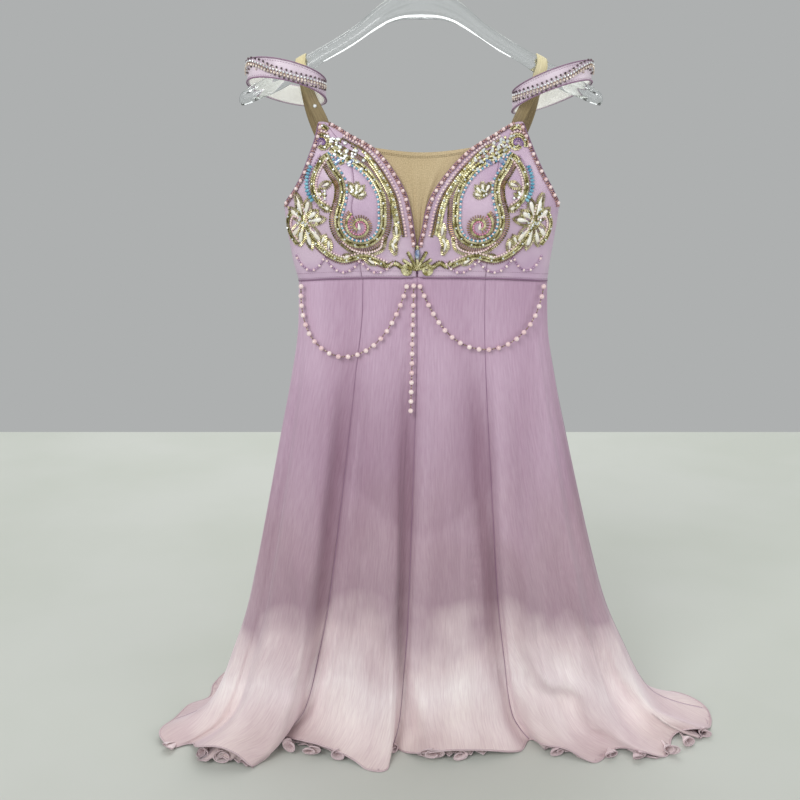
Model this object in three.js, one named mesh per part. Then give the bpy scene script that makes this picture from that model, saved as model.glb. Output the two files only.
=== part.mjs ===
// Ballet dress hanging from a clear hanger. Millimetres, +Z up, +X to the right as seen from the front.
// The origin is the point where a rail carries the hook, and the front of the dress faces -Y.
import * as THREE from 'three';

// Driving dimensions
const floorZ = -965;
const satin = 1.6;
const chiffon = 1.2;
const nudeMesh = 1.2;
const elastic = 1.4;
const lining = 1.0;
const seamGap = 0.3;

const waist = {
  centreX: -4, leftX: -139.6, rightX: 146.6, middleX: 3.5, halfWidth: 143.1, z: -397.4, sideDrop: 7.2,
};
const waistDepth = { front: 36, back: 24 };
const princess = { left: 0.237, right: 0.28 };
const apexZ = -231;
const underarmZ = -323;
const vBottomZ = -368;
const roundness = 0.8;

// Side outline of the bodice, from the waist up to the underarm and then along the armhole
const sideLine = [
  { z: -405, left: -139.6, right: 146.6 },
  { z: -381, left: -145.8, right: 149.0 },
  { z: -363, left: -148.5, right: 151.5 },
  { z: -343, left: -151.5, right: 154.0 },
  { z: -323, left: -153.0, right: 156.0 },
  { z: -304, left: -140.6, right: 146.5 },
  { z: -287, left: -130.4, right: 135.5 },
  { z: -269, left: -122.8, right: 126.0 },
  { z: -248, left: -115.2, right: 117.0 },
  { z: -231, left: -111.5, right: 110.5 },
];

// Inner outline: the centre seam up to the foot of the V, then the neckline
const neckLine = [
  { z: -405, left: -4.0, right: -4.0 },
  { z: -368, left: -5.0, right: -3.4 },
  { z: -341, left: -8.4, right: 1.6 },
  { z: -327, left: -11.0, right: 4.2 },
  { z: -310, left: -15.0, right: 10.0 },
  { z: -293, left: -23.3, right: 20.6 },
  { z: -275, left: -35.4, right: 36.0 },
  { z: -260, left: -49.6, right: 52.5 },
  { z: -245, left: -77.0, right: 78.0 },
  { z: -233, left: -98.0, right: 99.0 },
  { z: -231, left: -106.0, right: 104.5 },
];

// How far the front stands forward and the back stands back, by height
const depthByHeight = [
  { z: -405, front: 36, back: 24 },
  { z: -363, front: 43, back: 27 },
  { z: -323, front: 48, back: 29 },
  { z: -290, front: 45, back: 29 },
  { z: -260, front: 36, back: 26 },
  { z: -231, front: 22, back: 22 },
];
const cup = { middleX: 1.5, outX: 66, z: -322, width: 40, height: 40, rise: 12 };

// One row for each fold of the skirt: its place on the waist seam, in degrees from the centre front
// towards the right, then where it reaches the hem and how far it stands off the floor there
const folds = [
  { at: 0, x: -33, y: -84, lift: 0, seam: 'centre front' },
  { at: 3, x: -18, y: -98, lift: 0 },
  { at: 6, x: 6, y: -115, lift: 12 },
  { at: 11, x: 36, y: -113, lift: 15 },
  { at: 16, x: 78, y: -108, lift: 12 },
  { at: 21.5, x: 126, y: -98, lift: 2 },
  { at: 25.2, x: 138, y: -70, lift: 0, seam: 'front princess, right' },
  { at: 28, x: 150, y: -98, lift: 9 },
  { at: 33, x: 176, y: -104, lift: 11 },
  { at: 40, x: 212, y: -120, lift: 0 },
  { at: 45, x: 236, y: -92, lift: 2 },
  { at: 52, x: 268, y: -109, lift: 9 },
  { at: 60, x: 303, y: -104, lift: 0 },
  { at: 65, x: 314, y: -66, lift: 2 },
  { at: 73, x: 347, y: -70, lift: 15 },
  { at: 82, x: 372, y: -44, lift: 0 },
  { at: 90, x: 378, y: -14, lift: 5, seam: 'side, right' },
  { at: 98, x: 352, y: 16, lift: 9 },
  { at: 106, x: 330, y: 34, lift: 0 },
  { at: 113, x: 300, y: 26, lift: 1 },
  { at: 122, x: 284, y: 74, lift: 16 },
  { at: 130, x: 246, y: 92, lift: 0 },
  { at: 135, x: 224, y: 58, lift: 0, seam: 'back princess, right' },
  { at: 141, x: 196, y: 104, lift: 17 },
  { at: 149, x: 146, y: 116, lift: 0 },
  { at: 156, x: 110, y: 76, lift: 0 },
  { at: 164, x: 72, y: 112, lift: 16 },
  { at: 172, x: 30, y: 114, lift: 0 },
  { at: 180, x: 4, y: 74, lift: 0, seam: 'centre back' },
  { at: 188, x: -24, y: 112, lift: 0 },
  { at: 196, x: -66, y: 112, lift: 16 },
  { at: 204, x: -106, y: 110, lift: 0 },
  { at: 210, x: -122, y: 72, lift: 0 },
  { at: 217, x: -158, y: 108, lift: 17 },
  { at: 225, x: -200, y: 92, lift: 0 },
  { at: 231, x: -212, y: 56, lift: 0, seam: 'back princess, left' },
  { at: 239, x: -246, y: 80, lift: 15 },
  { at: 249, x: -280, y: 52, lift: 0 },
  { at: 257, x: -276, y: 18, lift: 1 },
  { at: 264, x: -300, y: -8, lift: 8 },
  { at: 270, x: -312, y: -38, lift: 5, seam: 'side, left' },
  { at: 277, x: -323, y: -72, lift: 11 },
  { at: 285, x: -298, y: -92, lift: 0 },
  { at: 291, x: -278, y: -80, lift: 2 },
  { at: 299, x: -266, y: -119, lift: 24 },
  { at: 307, x: -240, y: -124, lift: 29 },
  { at: 316, x: -212, y: -127, lift: 18 },
  { at: 327, x: -193, y: -130, lift: 0 },
  { at: 338.7, x: -178, y: -64, lift: 0, seam: 'front princess, left' },
  { at: 342, x: -160, y: -80, lift: 9 },
  { at: 345, x: -138, y: -96, lift: 15 },
  { at: 348.5, x: -110, y: -104, lift: 12 },
  { at: 352, x: -76, y: -119, lift: 5 },
  { at: 355, x: -60, y: -132, lift: 0 },
  { at: 357.5, x: -38, y: -131, lift: 0 },
  { at: 359, x: -33, y: -104, lift: 0 },
];

// The way down from the waist seam to the hem: the share of the drop and of the spread at each level
const skirtLevels = [
  { t: 0, drop: 0, spread: 0 },
  { t: 0.08, drop: 0.09, spread: 0.012 },
  { t: 0.2, drop: 0.215, spread: 0.07 },
  { t: 0.33, drop: 0.35, spread: 0.15 },
  { t: 0.46, drop: 0.487, spread: 0.235 },
  { t: 0.58, drop: 0.61, spread: 0.315 },
  { t: 0.69, drop: 0.725, spread: 0.4 },
  { t: 0.79, drop: 0.83, spread: 0.51 },
  { t: 0.87, drop: 0.915, spread: 0.61 },
  { t: 0.92, drop: 0.96, spread: 0.7 },
  { t: 0.955, drop: 0.983, spread: 0.82 },
  { t: 1, drop: 1, spread: 1 },
];

// Clear hanger: one row for each section of the right arm, the left arm is its mirror image
const hangerSections = [
  { x: 0, top: -86, bottom: -125.3, depth: 8 },
  { x: 11, top: -88, bottom: -125.4, depth: 8 },
  { x: 22, top: -95, bottom: -126.2, depth: 8 },
  { x: 36, top: -104, bottom: -129.5, depth: 7.5 },
  { x: 52, top: -116, bottom: -137.5, depth: 7 },
  { x: 66, top: -127.5, bottom: -146.5, depth: 6.5 },
  { x: 82, top: -138, bottom: -156, depth: 6.5 },
  { x: 106, top: -151.5, bottom: -168.5, depth: 7 },
  { x: 130, top: -164, bottom: -183.5, depth: 8 },
  { x: 150, top: -174, bottom: -195.5, depth: 9.5 },
  { x: 170, top: -184.5, bottom: -204, depth: 11 },
  { x: 190, top: -195.5, bottom: -211.8, depth: 12 },
  { x: 196.5, top: -200, bottom: -213.4, depth: 9 },
  { x: 199, top: -204.5, bottom: -210.5, depth: 4 },
];
// Steel hook: a straight neck, a lean to the right and most of a circle, in degrees, over the rail
const hookRod = { radius: 2.25, bend: 21, neckTop: -52, leanX: 5, leanZ: -43.5, start: -55, end: 200 };

// Elastic straps: where they leave the front top edge, cross the hanger and end on the back
const strap = { width: 12.5, crestX: 130.5, clear: 0.75, backX: 77, backZ: -343 };
const strapFoot = { left: -109, right: 107.5 };
const armband = { height: 21, halfWidth: 43, halfDepth: 28 };
const armbandLeft = { middleX: -147, side: -1, z: -189, rise: 8.5, fall: 10.5 };
const armbandRight = { middleX: 143.5, side: 1, z: -194.5, rise: 14.5, fall: 8 };

const insert = { topZ: -262, sideTopZ: -255, overlap: 5 };
const backTop = { sideZ: -324, centreZ: -352 };
const leotard = { crotchZ: -717, legTopZ: -590, hipHalf: 126, inset: 3.5, belowWaist: 0.5, closeFrom: 0.4 };
const beads = { height: 2.2, bandWidth: 7, edgingWidth: 4.2, edgingHeight: 4, edgingInset: 3.4 };
const pearl = { size: 6, thread: 1.6, step: 11.2, clear: 0.8 };

const colours = {
  satinLilac: 0xd3acd0,
  chiffonMauve: 0xc59ec3,
  nude: 0xd8bf95,
  nudeElastic: 0xe6d59c,
  whiteLining: 0xf0eee6,
  clearPlastic: 0xdfe4e6,
  chrome: 0xc8ccd0,
  goldBeads: 0xb79f56,
  pinkPearl: 0xe6c4c6,
  leotardLilac: 0xbf97bd,
};

const dress = new THREE.Group();

// Smooth reading of a table that is sorted by its key column, with no overshoot between the rows
function read(rows, key, column, value) {
  const last = rows.length - 1;
  if (value <= rows[0][key]) return rows[0][column];
  if (value >= rows[last][key]) return rows[last][column];
  const slope = (k) => (rows[k + 1][column] - rows[k][column]) / (rows[k + 1][key] - rows[k][key]);
  const knot = (k) => {
    if (k === 0) return slope(0);
    if (k === last) return slope(last - 1);
    const before = slope(k - 1);
    const after = slope(k);
    return before * after <= 0 ? 0 : (2 * before * after) / (before + after);
  };
  let k = 0;
  while (rows[k + 1][key] < value) k += 1;
  const step = rows[k + 1][key] - rows[k][key];
  const s = (value - rows[k][key]) / step;
  const s2 = s * s;
  const s3 = s2 * s;
  return (2 * s3 - 3 * s2 + 1) * rows[k][column] + (s3 - 2 * s2 + s) * step * knot(k)
    + (3 * s2 - 2 * s3) * rows[k + 1][column] + (s3 - s2) * step * knot(k + 1);
}

function steps(from, to, count) {
  return Array.from({ length: count + 1 }, (_, k) => from + ((to - from) * k) / count);
}

function mix(a, b, share) {
  return a + (b - a) * share;
}

function addMesh(name, points, triangles, finish) {
  const a = new THREE.Vector3();
  let volume = 0;
  for (const [i, j, k] of triangles) {
    volume += a.crossVectors(points[i], points[j]).dot(points[k]);
  }
  const order = volume < 0 ? triangles.map(([i, j, k]) => [i, k, j]) : triangles;
  const geometry = new THREE.BufferGeometry();
  const numbers = points.flatMap((p) => [p.x, p.y, p.z]);
  geometry.setAttribute('position', new THREE.Float32BufferAttribute(numbers, 3));
  geometry.setIndex(order.flat());
  const mesh = new THREE.Mesh(geometry, new THREE.MeshStandardMaterial(finish));
  mesh.name = name;
  dress.add(mesh);
}

// Unit normal of a surface, by small steps that stay inside its range
function normalAt(surface, u, v, range) {
  const small = 1e-4;
  const u0 = Math.max(u - small, range[0]);
  const u1 = Math.min(u + small, range[1]);
  const v0 = Math.max(v - small, 0);
  const v1 = Math.min(v + small, 1);
  const across = surface(u1, v).sub(surface(u0, v));
  const along = surface(u, v1).sub(surface(u, v0));
  return across.cross(along).normalize();
}

// Cloth wall: an outside grid, an inside grid moved in by the thickness, and the four edges.
// A trimmed edge is drawn back by half the seam gap, so that neighbours stay apart.
function addWall(name, surface, us, vs, thickness, finish, options = {}) {
  const { inward = 1, range = [0, 1], trim = {}, ring = false } = options;
  const columns = us.length;
  const outside = us.map((u) => vs.map((v) => surface(u, v)));
  const normals = us.map((u) => vs.map((v) => normalAt(surface, u, v, range).multiplyScalar(inward)));
  const drawBack = (point, towards) => {
    point.add(towards.clone().sub(point).setLength(seamGap / 2));
  };
  vs.forEach((_, row) => {
    if (trim.start) drawBack(outside[0][row], outside[1][row]);
    if (trim.end) drawBack(outside[columns - 1][row], outside[columns - 2][row]);
  });
  us.forEach((_, column) => {
    if (trim.bottom) drawBack(outside[column][0], outside[column][1]);
    if (trim.top) drawBack(outside[column][vs.length - 1], outside[column][vs.length - 2]);
  });
  const points = [];
  for (const side of [0, 1]) {
    us.forEach((_, column) => vs.forEach((__, row) => {
      const point = outside[column][row].clone();
      if (side === 1) point.addScaledVector(normals[column][row], thickness);
      point.z = Math.max(point.z, floorZ);
      points.push(point);
    }));
  }
  const at = (side, column, row) => (side * columns + (column % columns)) * vs.length + row;
  const triangles = [];
  const quad = (a, b, c, d) => triangles.push([a, b, c], [a, c, d]);
  const spans = ring ? columns : columns - 1;
  for (let column = 0; column < spans; column += 1) {
    for (let row = 0; row < vs.length - 1; row += 1) {
      quad(at(0, column, row), at(0, column + 1, row), at(0, column + 1, row + 1), at(0, column, row + 1));
      quad(at(1, column, row), at(1, column, row + 1), at(1, column + 1, row + 1), at(1, column + 1, row));
    }
    const top = vs.length - 1;
    quad(at(0, column, 0), at(1, column, 0), at(1, column + 1, 0), at(0, column + 1, 0));
    quad(at(0, column, top), at(0, column + 1, top), at(1, column + 1, top), at(1, column, top));
  }
  if (!ring) {
    const end = columns - 1;
    for (let row = 0; row < vs.length - 1; row += 1) {
      quad(at(0, 0, row), at(0, 0, row + 1), at(1, 0, row + 1), at(1, 0, row));
      quad(at(0, end, row), at(1, end, row), at(1, end, row + 1), at(0, end, row + 1));
    }
  }
  addMesh(name, points, triangles, finish);
}

// Solid swept through a row of closed sections, each a list of the same number of points
function addSections(name, sections, finish) {
  const sides = sections[0].length;
  const points = sections.flat();
  const triangles = [];
  for (let s = 0; s < sections.length - 1; s += 1) {
    for (let k = 0; k < sides; k += 1) {
      const a = s * sides + k;
      const b = s * sides + ((k + 1) % sides);
      triangles.push([a, b, b + sides], [a, b + sides, a + sides]);
    }
  }
  for (let k = 1; k < sides - 1; k += 1) {
    const last = (sections.length - 1) * sides;
    triangles.push([0, k + 1, k], [last, last + k, last + k + 1]);
  }
  addMesh(name, points, triangles, finish);
}

// Round rod or strand along a path, with its radius at each station
function addRod(name, path, radii, sides, finish) {
  const sections = [];
  let side = new THREE.Vector3(0, 1, 0);
  path.forEach((point, k) => {
    const before = path[Math.max(k - 1, 0)];
    const after = path[Math.min(k + 1, path.length - 1)];
    const along = after.clone().sub(before).normalize();
    side = side.clone().addScaledVector(along, -side.dot(along)).normalize();
    const across = along.clone().cross(side);
    sections.push(steps(0, 2 * Math.PI, sides).slice(0, sides).map((turn) => point.clone()
      .addScaledVector(side, radii[k] * Math.cos(turn))
      .addScaledVector(across, radii[k] * Math.sin(turn))));
  });
  addSections(name, sections, finish);
}

// How far out a place lies, from 0 in the middle of the body to 1 at its side; above the underarm
// the body keeps its width there
function reachOf(x, z) {
  const level = Math.min(z, underarmZ);
  const left = read(sideLine, 'z', 'left', level);
  const right = read(sideLine, 'z', 'right', level);
  return Math.min(Math.abs(x - (left + right) / 2) / ((right - left) / 2), 1);
}

// Front of the body shape: a flattened oval with a soft cup on each side, at any place across and up
function frontY(x, z) {
  const reach = reachOf(x, z);
  const oval = read(depthByHeight, 'z', 'front', z) * Math.max(1 - reach ** 2.5, 0) ** 0.4;
  const outX = (Math.abs(x - cup.middleX) - cup.outX) / cup.width;
  const up = (z - cup.z) / cup.height;
  return -oval - cup.rise * Math.exp(-outX * outX - up * up) * Math.min(1, oval / 20);
}

function backY(x, z) {
  return read(depthByHeight, 'z', 'back', z) * Math.max(1 - reachOf(x, z) ** 2.5, 0) ** 0.4;
}

// Share of the way from the centre to the side, from a share of a quarter turn
function sideways(w) {
  return Math.sin((Math.min(w, 1) * Math.PI) / 2) ** roundness;
}

function waistZ(share) {
  return waist.z - waist.sideDrop * share ** 3;
}

// Front half of the bodice: w runs from the centre to the side, v from the waist seam to the strap
function frontHalf(side) {
  const key = side < 0 ? 'left' : 'right';
  return (w, v) => {
    const share = sideways(w);
    const z = mix(waistZ(share), apexZ, v);
    const x = mix(read(neckLine, 'z', key, z), read(sideLine, 'z', key, z), share);
    return new THREE.Vector3(x, frontY(x, z), z);
  };
}

function backHalf(side) {
  const key = side < 0 ? 'left' : 'right';
  return (w, v) => {
    const share = sideways(w);
    const z = mix(waistZ(share), mix(backTop.centreZ, backTop.sideZ, share ** 2), v);
    const x = mix(waist.centreX, read(sideLine, 'z', key, z), share);
    return new THREE.Vector3(x, backY(x, z), z);
  };
}

// Point of the bodice front at a place given across and up, moved out by a height
function onFront(x, z, height) {
  const small = 0.5;
  const slopeX = (frontY(x + small, z) - frontY(x - small, z)) / (2 * small);
  const slopeZ = (frontY(x, z + small) - frontY(x, z - small)) / (2 * small);
  const normal = new THREE.Vector3(slopeX, -1, slopeZ).normalize();
  return new THREE.Vector3(x, frontY(x, z), z).addScaledVector(normal, height);
}

// Bodice panels
function addBodice() {
  const finish = { color: colours.satinLilac, roughness: 0.42, metalness: 0 };
  const rises = [0, 0.12, 0.24, 0.36, 0.45, 0.54, 0.64, 0.74, 0.84, 0.92, 0.97, 1];
  for (const side of [-1, 1]) {
    const hand = side < 0 ? 'left' : 'right';
    const seam = princess[hand];
    const surface = frontHalf(side);
    const trim = { start: true, end: true, bottom: true };
    const front = { inward: -side, trim };
    addWall(`bodice_front_centre_${hand}`, surface, steps(0, seam, 6), rises, satin, finish, front);
    addWall(`bodice_front_side_${hand}`, surface, steps(seam, 1, 9), rises, satin, finish, front);
    const back = { inward: side, trim };
    addWall(`bodice_back_${hand}`, backHalf(side), steps(0, 1, 12), steps(0, 1, 4), satin, finish, back);
  }
}

// Underlap that carries the fastening behind the centre back edges
function addPlacket() {
  const half = 9;
  const clear = satin + seamGap;
  const surface = (u, v) => {
    const x = waist.centreX + mix(-half, half, u);
    const z = mix(waist.z + 2, backTop.centreZ - 1, v);
    return new THREE.Vector3(x, backY(x, z) - clear, z);
  };
  const finish = { color: colours.satinLilac, roughness: 0.42, metalness: 0 };
  addWall('back_placket', surface, steps(0, 1, 2), steps(0, 1, 2), satin, finish, { inward: 1 });
}

// Nude insert behind the V of the neckline
function addInsert() {
  const footZ = vBottomZ - 6;
  const clear = satin + 3 * seamGap;
  const surface = (u, v) => {
    const lean = (2 * u - 1) ** 2;
    const z = mix(footZ, mix(insert.topZ, insert.sideTopZ, lean), v);
    const leftX = read(neckLine, 'z', 'left', z) - insert.overlap;
    const rightX = read(neckLine, 'z', 'right', z) + insert.overlap;
    const x = mix(leftX, rightX, u);
    return onFront(x, z, -clear);
  };
  const finish = { color: colours.nude, roughness: 0.75, metalness: 0 };
  addWall('insert_nude_mesh', surface, steps(0, 1, 6), steps(0, 1, 9), nudeMesh, finish, { inward: -1 });
}

function skirtWaistPoint(degrees) {
  const turn = (degrees * Math.PI) / 180;
  const share = Math.abs(Math.sin(turn)) ** roundness;
  const x = mix(waist.centreX, degrees <= 180 ? waist.rightX : waist.leftX, share);
  const front = Math.cos(turn) > 0;
  const depth = (front ? -waistDepth.front : waistDepth.back) * Math.abs(Math.cos(turn)) ** roundness;
  return new THREE.Vector3(x, depth, waistZ(share));
}

// Skirt: u counts the folds around, starting at the centre front, and v runs from the seam to the hem.
// Each level is one closed smooth curve through the folds.
const skirtCurves = new Map();
function skirtLevel(v) {
  if (!skirtCurves.has(v)) {
    const drop = read(skirtLevels, 't', 'drop', v);
    const spread = read(skirtLevels, 't', 'spread', v);
    const ring = folds.map((fold) => {
      const top = skirtWaistPoint(fold.at);
      const hemZ = floorZ + chiffon + fold.lift;
      const x = mix(top.x, fold.x, spread);
      const y = mix(top.y, fold.y, spread);
      return new THREE.Vector3(x, y, mix(top.z, hemZ, drop));
    });
    skirtCurves.set(v, new THREE.CatmullRomCurve3(ring, true, 'centripetal'));
  }
  return skirtCurves.get(v);
}

function skirt(u, v) {
  const count = folds.length;
  return skirtLevel(v).getPoint((((u % count) + count) % count) / count);
}

function addSkirt() {
  const finish = { color: colours.chiffonMauve, roughness: 0.8, metalness: 0 };
  const seams = folds.flatMap((fold, k) => (fold.seam ? [k] : [])).concat(folds.length);
  const names = [
    'skirt_front_centre_right', 'skirt_front_side_right', 'skirt_back_side_right', 'skirt_back_centre_right',
    'skirt_back_centre_left', 'skirt_back_side_left', 'skirt_front_side_left', 'skirt_front_centre_left',
  ];
  const levels = skirtLevels.map((level) => level.t);
  names.forEach((name, k) => {
    const columns = steps(seams[k], seams[k + 1], 2 * (seams[k + 1] - seams[k]));
    const trim = { start: true, end: true, bottom: true };
    const options = { inward: 1, range: [-1, folds.length + 1], trim };
    addWall(name, skirt, columns, levels, chiffon, finish, options);
  });
}

// Leotard that hangs inside the skirt from the waist seam: front and back meet at the crotch
function addLeotard() {
  const finish = { color: colours.leotardLilac, roughness: 0.6, metalness: 0 };
  const panel = (facing) => (u, v) => {
    const w = 2 * u - 1;
    const share = Math.abs(Math.sin((w * Math.PI) / 2)) ** roundness * Math.sign(w);
    const reach = Math.abs(share);
    const halfTop = waist.halfWidth - leotard.inset;
    const legZ = mix(leotard.crotchZ, leotard.legTopZ, Math.max(reach - 0.2, 0) ** 0.9 * 1.22);
    const z = mix(waistZ(reach) - leotard.belowWaist, legZ, v);
    const down = (waist.z - z) / (waist.z - leotard.crotchZ);
    const x = waist.middleX + share * mix(halfTop, leotard.hipHalf, Math.min(2 * down, 1));
    const depth = (facing < 0 ? waistDepth.front : waistDepth.back) - leotard.inset;
    const close = 1 - Math.max((down - leotard.closeFrom) / (1 - leotard.closeFrom), 0) ** 2;
    const y = facing * (depth * Math.max(1 - reach ** 2.5, 0) ** 0.4 * close + seamGap / 2 + nudeMesh);
    return new THREE.Vector3(x, y, z);
  };
  const range = [0.004, 0.996];
  const across = steps(0.004, 0.996, 12);
  addWall('leotard_front', panel(-1), across, steps(0, 1, 6), nudeMesh, finish, { inward: 1, range });
  addWall('leotard_back', panel(1), across, steps(0, 1, 6), nudeMesh, finish, { inward: -1, range });
}

function hangerAt(x, column) {
  return read(hangerSections, 'x', column, Math.abs(x));
}

function addHanger() {
  const sides = 12;
  const right = hangerSections.map((row) => row.x);
  const stations = right.slice(1).reverse().map((x) => -x).concat(right);
  const sections = stations.map((x) => {
    const top = hangerAt(x, 'top');
    const bottom = hangerAt(x, 'bottom');
    const depth = hangerAt(x, 'depth');
    return steps(0, 2 * Math.PI, sides).slice(0, sides).map((turn) => new THREE.Vector3(
      x,
      depth * Math.cos(turn),
      (top + bottom) / 2 + ((top - bottom) / 2) * Math.sin(turn),
    ));
  });
  addSections('hanger_body', sections, { color: colours.clearPlastic, roughness: 0.08, metalness: 0 });
}

function addHook() {
  const { radius, bend, neckTop, leanX, leanZ } = hookRod;
  const centreZ = radius - bend;
  const foot = hangerSections[0].top + seamGap;
  const arc = steps(hookRod.start, hookRod.end, 17).map((degrees) => {
    const turn = (degrees * Math.PI) / 180;
    return new THREE.Vector3(bend * Math.cos(turn), 0, centreZ + bend * Math.sin(turn));
  });
  const neck = [foot, mix(foot, neckTop, 0.6), neckTop].map((z) => new THREE.Vector3(0, 0, z));
  const middle = new THREE.Vector3(leanX, 0, leanZ);
  const path = [...neck, middle, ...arc];
  const finish = { color: colours.chrome, roughness: 0.18, metalness: 1 };
  addRod('hanger_hook', path, path.map(() => radius), 8, finish);
}

// Elastic strap: from behind the top of the cup, over the hanger arm and down to the back edge
function addStraps() {
  for (const side of [-1, 1]) {
    const hand = side < 0 ? 'left' : 'right';
    const crestX = side * strap.crestX;
    const near = 6;
    const slope = hangerAt(crestX + side * near, 'top') - hangerAt(crestX - side * near, 'top');
    const widthWay = new THREE.Vector3(2 * near, 0, side * slope).normalize();
    const top = hangerAt(crestX, 'top');
    const bottom = hangerAt(crestX, 'bottom');
    const out = strap.clear + elastic;
    const footX = strapFoot[hand];
    const backX = side * strap.backX;
    const overArm = steps(-80, 80, 8).map((degrees) => {
      const turn = (degrees * Math.PI) / 180;
      const halfHeight = (top - bottom) / 2 + out;
      return new THREE.Vector3(
        crestX,
        (hangerAt(crestX, 'depth') + out) * Math.sin(turn),
        (top + bottom) / 2 + halfHeight * Math.cos(turn),
      );
    });
    const front = [
      new THREE.Vector3(footX - side * 6, -8.5, apexZ - 16),
      new THREE.Vector3(footX - side * 1.5, -9.5, apexZ),
      new THREE.Vector3(footX + side * 12, -10, apexZ + 28),
    ];
    const behindBack = backY(backX + (side * strap.width) / 2, strap.backZ) - satin - 2 * seamGap;
    const back = [
      new THREE.Vector3(mix(crestX, backX, 0.18), 11, -222),
      new THREE.Vector3(mix(crestX, backX, 0.65), 20, -283),
      new THREE.Vector3(mix(crestX, backX, 0.93), behindBack, -330),
      new THREE.Vector3(backX, behindBack - 2 * seamGap, strap.backZ - 6),
    ];
    const path = new THREE.CatmullRomCurve3([...front, ...overArm, ...back], false, 'centripetal');
    const surface = (u, v) => path.getPoint(v).addScaledVector(widthWay, strap.width * (u - 0.5));
    const finish = { color: colours.nudeElastic, roughness: 0.7, metalness: 0 };
    addWall(`strap_${hand}`, surface, steps(0, 1, 2), steps(0, 1, 28), elastic, finish, { inward: -1 });
  }
}

// Armband: a short satin band closed in a ring round the hanger arm, and its white lining
function addArmbands() {
  const ringPoint = (band, inset, heightInset) => (u, v) => {
    const turn = u * 2 * Math.PI;
    const out = Math.cos(turn);
    const back = Math.sin(turn);
    return new THREE.Vector3(
      band.middleX + band.side * (armband.halfWidth - inset) * out,
      (armband.halfDepth - inset) * back,
      band.z + band.rise * out - band.fall * back + (v - 0.5) * (armband.height - 2 * heightInset),
    );
  };
  const outerFinish = { color: colours.satinLilac, roughness: 0.42, metalness: 0 };
  const liningFinish = { color: colours.whiteLining, roughness: 0.6, metalness: 0 };
  const around = steps(0, 1, 28).slice(0, 28);
  const heights = steps(0, 1, 2);
  for (const [hand, band] of [['left', armbandLeft], ['right', armbandRight]]) {
    const options = { inward: -band.side, ring: true, range: [-1, 2] };
    addWall(`armband_${hand}`, ringPoint(band, 0, 0), around, heights, satin, outerFinish, options);
    const inner = ringPoint(band, satin + seamGap, 1);
    addWall(`armband_lining_${hand}`, inner, around, heights, lining, liningFinish, options);
  }
}

// Raised band of beads that follows a line drawn across the bodice front, with its own width at each place
function addBeadBand(name, line, widthAt, height, count, finish) {
  const places = steps(0, 1, count);
  const sections = places.map((place) => {
    const here = line.getPoint(place);
    const way = line.getTangent(place);
    const half = widthAt(place) / 2;
    const corner = (across, up) => onFront(here.x - way.y * across, here.y + way.x * across, up);
    const crown = 0.6 * half;
    return [corner(-half, seamGap), corner(half, seamGap), corner(crown, height), corner(-crown, height)];
  });
  addSections(name, sections, finish);
}

// Smooth line through places given across and up
function flatLine(rows) {
  return new THREE.SplineCurve(rows.map(([x, z]) => new THREE.Vector2(x, z)));
}

// Drop-shaped motif: both sides of a bent spine, joined round its full end
function dropOutline(side, spine, halfWidths) {
  const line = flatLine(spine.map(([x, z]) => [side * x, z]));
  const rows = halfWidths.map((half, k) => ({ at: k / (halfWidths.length - 1), half }));
  const edge = (place, hand) => {
    const here = line.getPoint(place);
    const way = line.getTangent(place);
    const half = read(rows, 'at', 'half', place);
    return new THREE.Vector2(here.x - hand * way.y * half, here.y + hand * way.x * half);
  };
  const centre = line.getPoint(0);
  const way = line.getTangent(0);
  const start = Math.atan2(way.x, -way.y);
  const round = steps(0, Math.PI, 8).slice(1, 8).map((turn) => new THREE.Vector2(
    centre.x + halfWidths[0] * Math.cos(start + turn),
    centre.y + halfWidths[0] * Math.sin(start + turn),
  ));
  const places = steps(0, 1, 7);
  const up = places.slice().reverse().map((place) => edge(place, 1));
  const down = places.map((place) => edge(place, -1));
  return new THREE.SplineCurve([...up, ...round, ...down]);
}

function addBeading() {
  const finish = { color: colours.goldBeads, roughness: 0.35, metalness: 0.6 };
  const pearlFinish = { color: colours.pinkPearl, roughness: 0.3, metalness: 0 };
  for (const side of [-1, 1]) {
    const hand = side < 0 ? 'left' : 'right';
    const shift = side < 0 ? 4 : 0;
    const place = ([x, z]) => [x + shift, z];
    const spine = [[62, -336], [60, -312], [68, -290], [84, -275], [97, -262]].map(place);
    const drop = dropOutline(side, spine, [25, 22, 15, 9, 4]);
    addBeadBand(`beading_paisley_${hand}`, drop, () => beads.bandWidth, beads.height, 44, finish);
    const vineLine = [[34, -384], [58, -374], [84, -378], [108, -364], [124, -338], [130, -318]].map(place);
    const vine = flatLine(vineLine.map(([x, z]) => [side * x, z]));
    const leafy = (at) => 5 + 7 * Math.abs(Math.sin(5 * Math.PI * at)) * Math.sin(Math.PI * (0.1 + 0.8 * at));
    addBeadBand(`beading_vine_${hand}`, vine, leafy, beads.height, 44, finish);
    const edgeRows = neckLine.filter((row) => row.z >= vBottomZ + 20 && row.z < apexZ - 1);
    const neck = flatLine(edgeRows.map((row) => [row[hand] + side * beads.edgingInset, row.z - 1.2]));
    const edging = () => beads.edgingWidth;
    addBeadBand(`edging_neck_${hand}`, neck, edging, beads.edgingHeight, 30, pearlFinish);
    const armRows = sideLine.filter((row) => row.z >= -323 && row.z < apexZ - 1);
    const arm = flatLine(armRows.map((row) => [row[hand] - side * (beads.edgingInset + 1), row.z - 1]));
    addBeadBand(`edging_arm_${hand}`, arm, edging, beads.edgingHeight, 20, pearlFinish);
  }
  const stem = flatLine([[-4, -391], [-4.2, -382], [-4.2, -373]]);
  const palm = (at) => 20 - 12 * at;
  addBeadBand('beading_centre', stem, palm, beads.height, 6, finish);
}

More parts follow.
